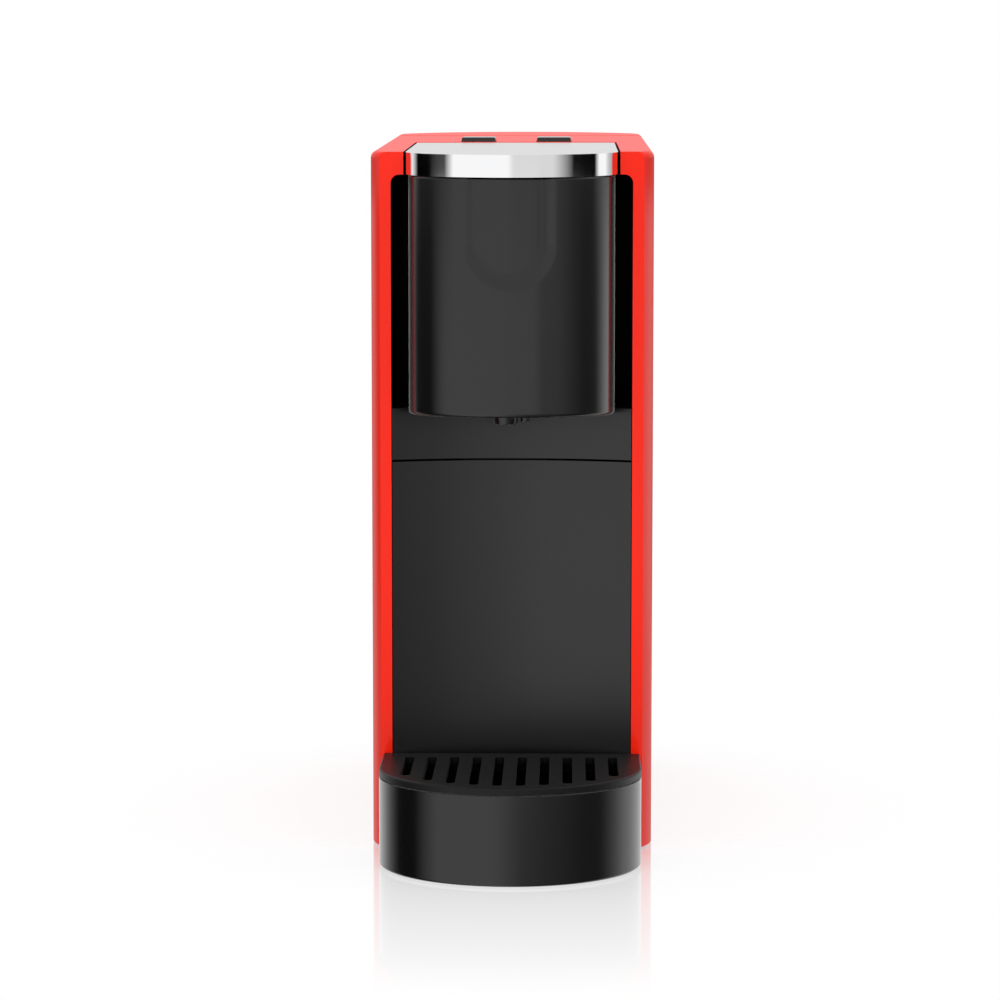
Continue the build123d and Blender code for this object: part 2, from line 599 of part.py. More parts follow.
with BuildPart() as capsule_chute:
    block(-22.5, 22.5, -62.8, -25, 150, 210)
    block(-20.9, 20.9, -61.2, -26.6, 149, 211, mode=Mode.SUBTRACT)
capsule_chute.part.label = "capsule_chute"
export_step(capsule_chute.part, "parts/capsule_chute.step")

# ---- chassis: bulkhead, shelf and the drawer's side walls ----------------------------------
SHELF_REAR_Y = 90.0
DRAWER_WALL_X = 52.5
with BuildPart() as chassis:
    block(-55, 55, -70, SHELF_REAR_Y, DECKING_Z, DECKING_Z + DECKING_T)
    block(-23, 23, -63.3, -24.5, DECKING_Z - 1, DECKING_Z + DECKING_T + 1, mode=Mode.SUBTRACT)
    block(-55, 55, BULKHEAD_Y, BULKHEAD_Y + 2.5, BASE_TOP_Z, DECKING_Z)
    for side in (-1, 1):
        block(min(side * DRAWER_WALL_X, side * 55), max(side * DRAWER_WALL_X, side * 55),
              -70, BULKHEAD_Y, BASE_TOP_Z, DECKING_Z)
        # feet for the base screws, front and rear
        block(side * 47.5 - 4, side * 47.5 + 4, BULKHEAD_Y + 2.5, BULKHEAD_Y + 10.5,
              BASE_TOP_Z, 40)
        block(side * 47.5 - 4, side * 47.5 + 4, SHELF_REAR_Y - 8, SHELF_REAR_Y,
              BASE_TOP_Z, DECKING_Z)
        for y in (BULKHEAD_Y + 6.5, SHELF_REAR_Y - 4):
            upright(side * 47.5, y, 1.5, BASE_TOP_Z - 1, BASE_TOP_Z + 12, mode=Mode.SUBTRACT)
        # pillars under the thermoblock
        block(side * 22 - 4, side * 22 + 4, 52, 72, DECKING_Z + DECKING_T, 200)
chassis.part.label = "chassis"
export_step(chassis.part, "parts/chassis.step")

# ---- used-capsule drawer ------------------------------------------------------------------
PEG_X = 30.0
PEG_Z = 20.0
with BuildPart() as drawer_front:
    with BuildSketch(Plane.XY.offset(5)):
        add(hollow_front(PANEL_X, 0, FRONT_Y + PANEL_BOW + PANEL_T))
        add(hollow_front(PANEL_X + 1, PANEL_T, FRONT_Y + PANEL_BOW + PANEL_T + 1),
            mode=Mode.SUBTRACT)
    extrude(amount=SEAM_Z - 0.4 - 5)
    for side in (-1, 1):
        lengthwise(side * PEG_X, PEG_Z, 3.3, FRONT_Y - 5, FRONT_Y + 16, mode=Mode.SUBTRACT)
drawer_front.part.label = "drawer_front"
export_step(drawer_front.part, "parts/drawer_front.step")

BIN_Y0 = FRONT_Y + PANEL_BOW + PANEL_T
BIN_Y1 = -2.0
with BuildPart() as capsule_bin:
    block(-BIN_X, BIN_X, BIN_Y0, BIN_Y1, 5, BIN_TOP_Z)
    block(-BIN_X + 2, BIN_X - 2, BIN_Y0 + 2, BIN_Y1 - 2, 7, BIN_TOP_Z + 1, mode=Mode.SUBTRACT)
    for side in (-1, 1):
        block(side * 42 - 1.5, side * 42 + 1.5, -77.2, BIN_Y0, 10, BIN_TOP_Z - 5)
capsule_bin.part.label = "capsule_bin"
export_step(capsule_bin.part, "parts/capsule_bin.step")

# ---- drip tray and grate ----------------------------------------------------------------
TRAY_REAR_Y = FRONT_Y - 0.4
TRAY_WALL = 2.5
with BuildPart() as drip_tray:
    with BuildSketch(Plane.XY.offset(FLOOR_GAP)):
        add(bowed_front(TRAY_X, TRAY_REAR_Y, TRAY_STRAIGHT, TRAY_OUT))
    extrude(amount=TRAY_TOP_Z - FLOOR_GAP)
    with BuildSketch(Plane.XY.offset(FLOOR_GAP + TRAY_WALL)):
        add(bowed_front(TRAY_X - TRAY_WALL, TRAY_REAR_Y - TRAY_WALL, TRAY_STRAIGHT,
                        TRAY_OUT - TRAY_WALL))
    extrude(amount=TRAY_TOP_Z, mode=Mode.SUBTRACT)
    fillet(drip_tray.faces().sort_by(Axis.Z)[0].edges().filter_by(GeomType.ELLIPSE), 1.2)
    for side in (-1, 1):
        lengthwise(side * PEG_X, PEG_Z, 3.0, TRAY_REAR_Y, FRONT_Y + 9.5)
drip_tray.part.label = "drip_tray"
export_step(drip_tray.part, "parts/drip_tray.step")

GRATE_RIM = 6.0
GRATE_INSET = 3.0
SLOT_REAR_GAP = 9.0
with BuildPart() as drip_grate:
    with BuildSketch(Plane.XY.offset(GRATE_Z0)):
        add(bowed_front(TRAY_X, TRAY_REAR_Y, TRAY_STRAIGHT, TRAY_OUT))
    extrude(amount=GRATE_T)
    fillet(drip_grate.faces().sort_by(Axis.Z)[-1].edges().filter_by(GeomType.ELLIPSE), 0.8)
    # ring that drops inside the tray
    with BuildSketch(Plane.XY.offset(GRATE_Z0 - 4)):
        add(bowed_front(TRAY_X - GRATE_INSET, TRAY_REAR_Y - GRATE_INSET, TRAY_STRAIGHT,
                        TRAY_OUT - GRATE_INSET))
        add(bowed_front(TRAY_X - GRATE_INSET - 2, TRAY_REAR_Y - GRATE_INSET - 2,
                        TRAY_STRAIGHT, TRAY_OUT - GRATE_INSET - 2), mode=Mode.SUBTRACT)
    extrude(amount=4)
    with BuildSketch(Plane.XY.offset(GRATE_Z0 - 1)):
        for i in range(GRATE_SLOTS):
            x = (i - (GRATE_SLOTS - 1) / 2) * GRATE_PITCH
            reach = math.sqrt(1 - (x / (TRAY_X - GRATE_RIM)) ** 2)
            front = FRONT_Y - TRAY_STRAIGHT - (TRAY_OUT - TRAY_STRAIGHT - GRATE_RIM) * reach
            rear = TRAY_REAR_Y - SLOT_REAR_GAP
            with Locations((x, (front + rear) / 2)):
                SlotOverall(rear - front, GRATE_SLOT_W, rotation=90)
    extrude(amount=GRATE_T + 2, mode=Mode.SUBTRACT)
drip_grate.part.label = "drip_grate"
export_step(drip_grate.part, "parts/drip_grate.step")

# ---- tank bay liner, socket and seal -----------------------------------------------------
SOCKET_R = 13.0
with BuildPart() as tank_bay:
    with BuildSketch(Plane.XY.offset(SKIRT_Z - WALL)):
        add(body_outline(WALL + 0.2))
        with Locations((0, BAY_Y - 100 - 2.7)):
            Rectangle(200, 200, mode=Mode.SUBTRACT)
    extrude(amount=WALL)
    with BuildSketch(Plane.XY.offset(SKIRT_Z)):
        add(body_outline(WALL + 0.2))
        with Locations((0, BAY_Y - 100 - 2.7)):
            Rectangle(200, 200, mode=Mode.SUBTRACT)
        with Locations((0, BAY_Y + 100 - 0.2)):
            Rectangle(200, 200, mode=Mode.SUBTRACT)
    extrude(amount=TOP_REAR_Z)
    split(bisect_by=top_plane(WALL + 0.3), keep=Keep.BOTTOM)
    upright(0, TANK_CX_Y, SOCKET_R, SKIRT_Z - 5, SKIRT_Z + 1, mode=Mode.SUBTRACT)
tank_bay.part.label = "tank_bay"
export_step(tank_bay.part, "parts/tank_bay.step")

SOCKET_Z0 = 33.0
with BuildPart() as tank_socket:
    upright(0, TANK_CX_Y, SOCKET_R, SOCKET_Z0, SKIRT_Z - 0.2)
    upright(0, TANK_CX_Y, 9.2, SOCKET_Z0 + 2.5, SKIRT_Z + 1, mode=Mode.SUBTRACT)
    upright(0, TANK_CX_Y, 1.5, SOCKET_Z0 + 2, 38.2)
    block(-4, 4, TANK_CX_Y - 12, TANK_CX_Y + 4, SOCKET_Z0 - 6.5, SOCKET_Z0 + 1)
    lengthwise(0, SOCKET_Z0 - 3, 3.0, TANK_CX_Y - 20, TANK_CX_Y - 12)
tank_socket.part.label = "tank_socket"
export_step(tank_socket.part, "parts/tank_socket.step")

SPIGOT_R = 7.5
with BuildPart() as socket_seal:
    upright(0, TANK_CX_Y, 9.2, 40.5, 43.5)
    upright(0, TANK_CX_Y, SPIGOT_R + 0.2, 40, 44, mode=Mode.SUBTRACT)
socket_seal.part.label = "socket_seal"
export_step(socket_seal.part, "parts/socket_seal.step")

# ---- water tank, with its valve ------------------------------------------------------------
SPIGOT_BORE_R = 5.2
TANK_FLOOR_Z = TANK_Z0 + 2.5
EAR_X = 26.0
with BuildPart() as water_tank:
    with BuildSketch(Plane.XY.offset(TANK_Z0)):
        add(body_outline(0.3))
        with Locations((0, TANK_FRONT_Y - 100)):
            Rectangle(200, 200, mode=Mode.SUBTRACT)
    extrude(amount=TANK_TOP_Z - TANK_Z0)
    with BuildSketch(Plane.XY.offset(TANK_FLOOR_Z)):
        add(body_outline(0.3 + TANK_WALL))
        with Locations((0, TANK_FRONT_Y + TANK_WALL - 100)):
            Rectangle(200, 200, mode=Mode.SUBTRACT)
    extrude(amount=TANK_TOP_Z, mode=Mode.SUBTRACT)
    upright(0, TANK_CX_Y, SPIGOT_R, 40, TANK_Z0)
    upright(0, TANK_CX_Y, SPIGOT_BORE_R, 39, TANK_FLOOR_Z + 1, mode=Mode.SUBTRACT)
    # ears for the lid's pin
    for x in (-EAR_X, EAR_X):
        with BuildSketch(Plane.YZ.offset(x - 3)):
            with Locations((LID_PIN_Y, LID_PIN_Z)):
                Circle(3.8)
            with Locations((LID_PIN_Y, (LID_PIN_Z + TANK_TOP_Z - 12) / 2)):
                Rectangle(7.6, LID_PIN_Z - TANK_TOP_Z + 12)
        extrude(amount=6)
    crosswise(LID_PIN_Y, LID_PIN_Z, 1.55, -40, 40, mode=Mode.SUBTRACT)
water_tank.part.label = "water_tank"
export_step(water_tank.part, "parts/water_tank.step")

VALVE_SEAT_Z = TANK_FLOOR_Z
with BuildPart() as tank_valve:
    upright(0, TANK_CX_Y, 1.8, 38.6, VALVE_SEAT_Z + 1.6)
    upright(0, TANK_CX_Y, 7.0, VALVE_SEAT_Z + 1.6, VALVE_SEAT_Z + 3.6)
    upright(0, TANK_CX_Y, 2.2, VALVE_SEAT_Z + 3.6, VALVE_SEAT_Z + 7.6)
tank_valve.part.label = "tank_valve"
export_step(tank_valve.part, "parts/tank_valve.step")

with BuildPart() as valve_seal:
    upright(0, TANK_CX_Y, 6.8, VALVE_SEAT_Z + 0.1, VALVE_SEAT_Z + 1.6)
    upright(0, TANK_CX_Y, 1.8, VALVE_SEAT_Z - 1, VALVE_SEAT_Z + 3, mode=Mode.SUBTRACT)
valve_seal.part.label = "valve_seal"
export_step(valve_seal.part, "parts/valve_seal.step")

FILTER_TOP_Z = VALVE_SEAT_Z + 17
valve_spring = coil(0, TANK_CX_Y, VALVE_SEAT_Z + 3.6, FILTER_TOP_Z - 1.6, 4.5, 0.4, 5)
valve_spring.label = "valve_spring"
export_step(valve_spring, "parts/valve_spring.step")

with BuildPart() as tank_filter:
    upright(0, TANK_CX_Y, 11, VALVE_SEAT_Z, FILTER_TOP_Z)
    upright(0, TANK_CX_Y, 9.6, VALVE_SEAT_Z - 1, FILTER_TOP_Z - 1.6, mode=Mode.SUBTRACT)
    for angle in range(0, 180, 30):
        with BuildSketch(Plane(origin=(0, TANK_CX_Y, VALVE_SEAT_Z + 8),
                               z_dir=(math.cos(math.radians(angle)),
                                      math.sin(math.radians(angle)), 0))):
            Rectangle(9, 2.2)
        extrude(amount=15, both=True, mode=Mode.SUBTRACT)
tank_filter.part.label = "tank_filter"
export_step(tank_filter.part, "parts/tank_filter.step")

# ---- lid of the tank, hinged at its front edge ------------------------------------------------
LID_Z0 = TANK_TOP_Z + 0.4
LID_SKIN = 2.2
with BuildPart() as lid_blank:
    with BuildSketch(Plane.XY.offset(LID_Z0)):
        add(body_outline(0))
        with Locations((0, TANK_FRONT_Y - 100)):
            Rectangle(200, 200, mode=Mode.SUBTRACT)
    extrude(amount=40)
    split(bisect_by=top_plane(0), keep=Keep.BOTTOM)
    lid_top = lid_blank.faces().sort_by(Axis.Z)[-1]
    fillet(lid_top.edges().filter_by(lambda e: e.center().Y > TANK_FRONT_Y + 1), TOP_EDGE_R)

with BuildPart() as lid_hollow:
    with BuildSketch(Plane.XY.offset(LID_Z0 - 1)):
        add(body_outline(LID_SKIN))
        with Locations((0, LID_PIN_Y + LID_BARREL_R + 1.5 - 100)):
            Rectangle(200, 200, mode=Mode.SUBTRACT)
    extrude(amount=40)
    split(bisect_by=top_plane(LID_SKIN), keep=Keep.BOTTOM)

with BuildPart() as tank_lid:
    add(lid_blank.part)
    # the front edge is round about the pin, so that it turns in place
    with BuildSketch(Plane.YZ.offset(-80)):
        with Locations((LID_PIN_Y - 10, LID_PIN_Z)):
            Rectangle(20, 60)
        with Locations((LID_PIN_Y, LID_PIN_Z)):
            Circle(LID_BARREL_R, mode=Mode.SUBTRACT)
    extrude(amount=160, mode=Mode.SUBTRACT)
    add(lid_hollow.part, mode=Mode.SUBTRACT)
    for x in (-EAR_X, EAR_X):
        block(x - 3.4, x + 3.4, LID_PIN_Y - 6, LID_PIN_Y + 5.5, LID_Z0 - 1,
              LID_PIN_Z + 3.9, mode=Mode.SUBTRACT)
    crosswise(LID_PIN_Y, LID_PIN_Z, 1.5, -36, 36, mode=Mode.SUBTRACT)
tank_lid.part.label = "tank_lid"
export_step(tank_lid.part, "parts/tank_lid.step")

with BuildPart() as lid_pin:
    crosswise(LID_PIN_Y, LID_PIN_Z, 1.5, -35.8, 35.8)
lid_pin.part.label = "lid_pin"
export_step(lid_pin.part, "parts/lid_pin.step")

# ---- base plate, feet and base screws -----------------------------------------------------------
FOOT_SPOTS = {
    "foot_front_left": (-40.0, -58.0),
    "foot_front_right": (40.0, -58.0),
    "foot_rear_left": (-40.0, 118.0),
    "foot_rear_right": (40.0, 118.0),
}
SCREW_SPOTS = [
    (-47.5, BULKHEAD_Y + 6.5),
    (47.5, BULKHEAD_Y + 6.5),
    (-47.5, SHELF_REAR_Y - 4),
    (47.5, SHELF_REAR_Y - 4),
    (-BOSS_X, BOSS_Y),
    (BOSS_X, BOSS_Y),
]
with BuildPart() as base_plate:
    with BuildSketch(Plane.XY.offset(FLOOR_GAP + 0.2)):
        add(body_outline(WALL + 0.2))
    extrude(amount=BASE_TOP_Z - FLOOR_GAP - 0.2)
    for x, y in FOOT_SPOTS.values():
        upright(x, y, 2.8, 0, BASE_TOP_Z + 1, mode=Mode.SUBTRACT)
        upright(x, y, 9.2, 0, 2.4, mode=Mode.SUBTRACT)
    for x, y in SCREW_SPOTS:
        upright(x, y, 1.7, 0, BASE_TOP_Z + 1, mode=Mode.SUBTRACT)
        upright(x, y, 3.6, 0, 2.6, mode=Mode.SUBTRACT)
base_plate.part.label = "base_plate"
export_step(base_plate.part, "parts/base_plate.step")

for foot_name, (x, y) in FOOT_SPOTS.items():
    with BuildPart() as foot:
        upright(x, y, 9.0, 0, 2.4)
        fillet(foot.edges().sort_by(Axis.Z)[0], 0.6)
        upright(x, y, 2.8, 2.4, BASE_TOP_Z)
        upright(x, y, 3.4, BASE_TOP_Z, BASE_TOP_Z + 0.8)
    foot.part.label = foot_name
    export_step(foot.part, f"parts/{foot_name}.step")

with BuildPart() as base_screws:
    for x, y in SCREW_SPOTS:
        upright(x, y, 3.2, 1.3, 2.6)
        upright(x, y, 1.45, 2.6, BASE_TOP_Z + 11)
base_screws.part.label = "base_screws"
export_step(base_screws.part, "parts/base_screws.step")

# ---- pump, its rubber mounts, flow meter and thermoblock ------------------------------------------
PUMP_X = -24.0
PUMP_Z = 36.0
PUMP_R = 17.0
with BuildPart() as vibration_pump:
    lengthwise(PUMP_X, PUMP_Z, PUMP_R, 30, 66)
    lengthwise(PUMP_X, PUMP_Z, 9.0, 20, 78)
    lengthwise(PUMP_X, PUMP_Z, 3.0, 16, 86)
    block(PUMP_X - 12, PUMP_X + 12, 34, 62, PUMP_Z + 10, PUMP_Z + 22)
vibration_pump.part.label = "vibration_pump"
export_step(vibration_pump.part, "parts/vibration_pump.step")

for mount_name, y0 in (("pump_mount_front", 22.0), ("pump_mount_rear", 69.0)):
    with BuildPart() as pump_mount:
        block(PUMP_X - 12, PUMP_X + 12, y0, y0 + 7, BASE_TOP_Z, PUMP_Z + 11)
        lengthwise(PUMP_X, PUMP_Z, 9.0, y0 - 1, y0 + 8, mode=Mode.SUBTRACT)
    pump_mount.part.label = mount_name
    export_step(pump_mount.part, f"parts/{mount_name}.step")

METER_X = 28.0
METER_Y = 58.0
METER_Z = 21.0
with BuildPart() as flow_meter:
    upright(METER_X, METER_Y, 13, BASE_TOP_Z + 3, 30)
    upright(METER_X, METER_Y, 5, BASE_TOP_Z, BASE_TOP_Z + 3)
    lengthwise(METER_X, METER_Z, 3.0, METER_Y - 20, METER_Y + 20)
flow_meter.part.label = "flow_meter"
export_step(flow_meter.part, "parts/flow_meter.step")

BLOCK_Y0 = 44.0
BLOCK_Y1 = 80.0
with BuildPart() as thermoblock:
    block(-30, 30, BLOCK_Y0, BLOCK_Y1, 200, 262)
    fillet(thermoblock.edges().filter_by(Axis.Y), 6)
    lengthwise(0, CHAMBER_Z, 3.0, BLOCK_Y0 - 6, BLOCK_Y0)
    lengthwise(PUMP_X, CHAMBER_Z, 3.0, BLOCK_Y1, BLOCK_Y1 + 6)
    for x in (-18, 18):
        upright(x, 62, 3.5, 262, 272)
thermoblock.part.label = "thermoblock"
export_step(thermoblock.part, "parts/thermoblock.step")

with BuildPart() as thermostat:
    upright(0, 62, 8, 262, 268)
    block(-9, 9, 60, 64, 268, 272)
thermostat.part.label = "thermostat"
export_step(thermostat.part, "parts/thermostat.step")

# ---- hoses ------------------------------------------------------------------------------------------
HOSE_R = 3.0
suction_hose = tube(
    [(0, TANK_CX_Y - 20, SOCKET_Z0 - 3), (0, 98, SOCKET_Z0 - 3), (METER_X, 92, METER_Z),
     (METER_X, METER_Y + 20, METER_Z)], HOSE_R, 6.0)
suction_hose.label = "suction_hose"
export_step(suction_hose, "parts/suction_hose.step")

feed_hose = tube(
    [(METER_X, METER_Y - 20, METER_Z), (METER_X, 24, METER_Z), (14, 11, 26), (-12, 11, 34),
     (-14.5, 11, PUMP_Z), (PUMP_X, 11, PUMP_Z), (PUMP_X, 16, PUMP_Z)], HOSE_R, 0.9)
feed_hose.label = "feed_hose"
export_step(feed_hose, "parts/feed_hose.step")

pressure_hose = tube(
    [(PUMP_X, 86, PUMP_Z), (PUMP_X, 97, PUMP_Z), (PUMP_X, 97, CHAMBER_Z),
     (PUMP_X, BLOCK_Y1 + 6, CHAMBER_Z)], HOSE_R, 7.0)
pressure_hose.label = "pressure_hose"
export_step(pressure_hose, "parts/pressure_hose.step")

# flexible hose from the thermoblock to the moving chamber
brew_hose = tube(
    [(0, CHAMBER_REAR_Y + 7, CHAMBER_Z), (0, 0, CHAMBER_Z), (0, 10, CHAMBER_Z - 12),
     (0, 22, CHAMBER_Z - 12), (0, 32, CHAMBER_Z), (0, BLOCK_Y0 - 6, CHAMBER_Z)], HOSE_R, 4.0)
brew_hose.label = "brew_hose"
export_step(brew_hose, "parts/brew_hose.step")

# ---- boards, buttons and springs ----------------------------------------------------------------------
with BuildPart() as main_board:
    block(50, 51.6, 18, 80, 60, 150)
    block(42, 50, 24, 42, 70, 96)
    block(44, 50, 52, 66, 70, 90)
    for y in (30.0, 44.0, 58.0):
        block(40, 50, y, y + 8, 118, 138)
main_board.part.label = "main_board"
export_step(main_board.part, "parts/main_board.step")

with BuildPart() as button_board:
    block(-31, 31, 25, 41, BOARD_Z, BOARD_Z + BOARD_T)
    for side in (-1, 1):
        block(side * BUTTON_X - 3, side * BUTTON_X + 3, BUTTON_Y - 3, BUTTON_Y + 3,
              BOARD_Z + BOARD_T, BOARD_Z + BOARD_T + 3.5)
button_board.part.label = "button_board"
export_step(button_board.part, "parts/button_board.step")

BUTTON_FLANGE_Z = 298.3
for side_name, side in (("left", -1), ("right", 1)):
    x = side * BUTTON_X
    with BuildPart() as button:
        block(x - BUTTON_W / 2, x + BUTTON_W / 2, BUTTON_Y - BUTTON_L / 2,
              BUTTON_Y + BUTTON_L / 2, BUTTON_FLANGE_Z, TOP_REAR_Z)
        split(bisect_by=top_plane(-BUTTON_PROUD), keep=Keep.BOTTOM)
        fillet(button.faces().sort_by(Axis.Z)[-1].edges(), 0.8)
        block(x - 9.5, x + 9.5, BUTTON_Y - 8.4, BUTTON_Y + 7.6, BUTTON_FLANGE_Z,
              BUTTON_FLANGE_Z + 1.5)
    button.part.label = f"button_{side_name}"
    export_step(button.part, f"parts/button_{side_name}.step")

    button_spring = coil(x, BUTTON_Y, BOARD_Z + BOARD_T, BUTTON_FLANGE_Z, 5.6, 0.35, 3)
    button_spring.label = f"button_spring_{side_name}"
    export_step(button_spring, f"parts/button_spring_{side_name}.step")

# ---- mains inlet and switch ------------------------------------------------------------------------------
INLET_FACE_Y = 162.2
with BuildPart() as power_inlet:
    block(-INLET_W / 2, INLET_W / 2, INLET_FACE_Y - 2.7, INLET_FACE_Y, INLET_Z - INLET_H / 2,
          INLET_Z + INLET_H / 2)
    block(-13.5, 13.5, 140, INLET_FACE_Y - 2.7, INLET_Z - 9.5, INLET_Z + 9.0)
    with BuildSketch(Plane(origin=(0, INLET_FACE_Y + 1, INLET_Z), x_dir=(1, 0, 0),
                           z_dir=(0, 1, 0))) as socket:
        Rectangle(24.2, 16.2)
        chamfer(socket.vertices().group_by(Axis.Y)[0], 4.5)
    extrude(amount=-18, mode=Mode.SUBTRACT)
power_inlet.part.label = "power_inlet"
export_step(power_inlet.part, "parts/power_inlet.step")

with BuildPart() as inlet_pins:
    for x, z in ((-7, INLET_Z - 2), (0, INLET_Z + 2), (7, INLET_Z - 2)):
        block(x - 1, x + 1, INLET_FACE_Y - 17, INLET_FACE_Y - 3, z - 2, z + 2)
inlet_pins.part.label = "inlet_pins"
export_step(inlet_pins.part, "parts/inlet_pins.step")

SWITCH_FACE_X = 59.0
ROCKER_X = 54.5
ROCKER_TILT = 9.0
with BuildPart() as switch_frame:
    block(36, SWITCH_FACE_X, SWITCH_Y - SWITCH_L / 2, SWITCH_Y + SWITCH_L / 2,
          SWITCH_Z - SWITCH_H / 2, SWITCH_Z + SWITCH_H / 2)
    block(46, SWITCH_FACE_X + 1, SWITCH_Y - 8.8, SWITCH_Y + 8.8, SWITCH_Z - 6, SWITCH_Z + 6,
          mode=Mode.SUBTRACT)
    upright(ROCKER_X, SWITCH_Y, 1.2, SWITCH_Z - 6.9, SWITCH_Z + 6.9, mode=Mode.SUBTRACT)
switch_frame.part.label = "switch_frame"
export_step(switch_frame.part, "parts/switch_frame.step")

with BuildPart() as switch_rocker:
    with BuildSketch(Plane(origin=(ROCKER_X, SWITCH_Y, SWITCH_Z - 5.8),
                           x_dir=(math.cos(math.radians(ROCKER_TILT)),
                                  math.sin(math.radians(ROCKER_TILT)), 0), z_dir=(0, 0, 1))):
        with BuildLine():
            Polyline((3.0, 0), (4.0, 7.8), (-1.5, 7.8), (-4.0, 3.0), (-4.0, -3.0),
                     (-1.5, -7.8), (4.0, -7.8), (3.0, 0))
        make_face()
    extrude(amount=11.6)
    upright(ROCKER_X, SWITCH_Y, 1.15, SWITCH_Z - 6.8, SWITCH_Z + 6.8)
switch_rocker.part.label = "switch_rocker"
export_step(switch_rocker.part, "parts/switch_rocker.step")
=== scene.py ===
"""Looks of a slim capsule espresso machine: red housing, black head and tray, chrome lever."""
import bpy
import bmesh
import math
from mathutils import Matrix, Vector
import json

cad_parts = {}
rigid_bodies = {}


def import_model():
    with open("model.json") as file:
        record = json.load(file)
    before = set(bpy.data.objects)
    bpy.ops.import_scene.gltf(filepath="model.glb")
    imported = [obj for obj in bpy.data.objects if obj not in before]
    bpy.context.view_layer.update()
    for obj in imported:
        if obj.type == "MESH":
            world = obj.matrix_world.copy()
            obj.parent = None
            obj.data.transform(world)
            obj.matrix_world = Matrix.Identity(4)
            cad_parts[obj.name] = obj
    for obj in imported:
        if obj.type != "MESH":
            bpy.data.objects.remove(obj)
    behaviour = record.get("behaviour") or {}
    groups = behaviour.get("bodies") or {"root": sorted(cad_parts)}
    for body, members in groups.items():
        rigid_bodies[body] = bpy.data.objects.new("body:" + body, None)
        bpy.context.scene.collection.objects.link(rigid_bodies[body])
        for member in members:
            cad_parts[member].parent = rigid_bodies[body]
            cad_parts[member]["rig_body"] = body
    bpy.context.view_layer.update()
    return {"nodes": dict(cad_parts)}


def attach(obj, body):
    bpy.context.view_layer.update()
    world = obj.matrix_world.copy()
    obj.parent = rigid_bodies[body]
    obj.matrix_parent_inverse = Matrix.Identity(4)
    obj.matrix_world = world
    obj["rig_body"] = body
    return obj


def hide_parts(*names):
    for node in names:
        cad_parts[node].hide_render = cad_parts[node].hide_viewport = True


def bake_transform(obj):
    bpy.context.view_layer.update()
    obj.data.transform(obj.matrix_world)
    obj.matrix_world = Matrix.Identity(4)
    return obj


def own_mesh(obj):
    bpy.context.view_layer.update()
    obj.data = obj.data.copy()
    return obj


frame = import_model()
NODES = frame["nodes"]
BODY_OF = {n: o["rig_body"] for n, o in NODES.items()}
SLOT_OF = {n: o.data.materials[0].name for n, o in NODES.items()}
MM = 0.001

# ------------------------------------------------------------------ shared dimensions, mm
FRONT_Y = -85.0
TOP_FRONT_Z = 296.0
SLOPE = 16.0 / 249.0
DRUM_X, DRUM_OUT, DRUM_BOTTOM, DRUM_REAR_Y = 43.3, 32.0, 186.4, -52.3
RIM_DROP = 9.6           # the drum's rim lies this far under the slope of the top
DRUM_WALL = 1.4
DECK_GAP = 0.1           # between the drum's wall and the edge of the deck inside it
ON_THE_EDGE = 0.97       # share of the drum's half ellipse beyond which a point is its edge
SIDE_LAP = 0.05          # points this close to the drum's sides are its edge too
THUMB_CREASE = 0.42      # the thumb recess has a soft crease round its edge
THUMB_X, THUMB_SLOPE_W, THUMB_BOTTOM, THUMB_DEPTH = 16.0, 6.8, 241.8, 1.5
FLOOR_PLATE, FLOOR_OVERLAP = 2.5, 0.08      # the drum's bottom plate and its lap on the wall
ROUND_SHARE = 0.9        # share of the skin's columns that run round the drum's nose
EDGE_SHARE = 0.1         # share of its rows that turn round the drum's lower edge
CREASE_REACH = 0.4       # share of the slope's width over which the crease fades
PANEL_TOP = 188.4
SPOUT_Y, SPOUT_COLLAR_Z, COLLAR_REACH = -100.0, 189.6, 12.0
NOZZLE_SHOWN_X, NOZZLE_SCALE, NOZZLE_LIFT = -2.0, 0.76, 0.8
VENT_X, VENT_REACH, VENT_SHOWN_X, VENT_SCALE, VENT_DROP = 10.0, 2.0, 5.9, 1.1, 1.4
RECESS_SIDE, RECESS_DEPTH_Y = 52.0, 25.0    # inner faces of the recess and the lever's slot
PAINTED_SHADE_OVER_PANEL = 1.0   # painted shade: the panel is dressed near black from this far above its seam, where the channel beside the drum lies in shade
FACES_UP, FACES_IN = 0.9, 0.5               # how far a face's normal points up or inward
WELD, FLAT = 1e-6, 1e-5                     # metres: same point, same level
BOSS_PLACE = (40.0, 144.5)
BUTTON_X, BUTTON_Y, BUTTON_TRAVEL = 17.15, 33.0, 1.55     # the travel with a hair of clearance
SCREW_SIDE_X, SCREW_FRONT_Y, SCREW_REAR_Y = 47.5, 10.5, 86.0
SCREW_PLACES = [(side * SCREW_SIDE_X, y) for side in (-1, 1)
                for y in (SCREW_FRONT_Y, SCREW_REAR_Y)]
SCREW_PLACES += [(side * BOSS_PLACE[0], BOSS_PLACE[1]) for side in (-1, 1)]


# ------------------------------------------------------------------ node tree helpers
def put(tree, kind, inputs=None, **settings):
    """A node with its settings; inputs maps a socket name or index to a value or to a link."""
    made = tree.nodes.new(kind)
    for name, value in settings.items():
        setattr(made, name, value)
    for key, value in (inputs or {}).items():
        socket = made.inputs[key]
        if isinstance(value, bpy.types.NodeSocket):
            tree.links.new(value, socket)
        else:
            socket.default_value = value
    return made


def rgb(r, g, b):
    return (r, g, b, 1.0)


def ramp(tree, fac, stops, mode="LINEAR"):
    """A colour ramp node; stops are (position, brightness or colour)."""
    made = put(tree, "ShaderNodeValToRGB", {"Fac": fac})
    made.color_ramp.interpolation = mode
    elements = made.color_ramp.elements
    while len(elements) > 1:
        elements.remove(elements[0])
    for i, (position, value) in enumerate(stops):
        spot = elements[0] if i == 0 else elements.new(position)
        spot.position = position
        spot.color = value if isinstance(value, tuple) else (value, value, value, 1.0)
    return made.outputs["Color"]


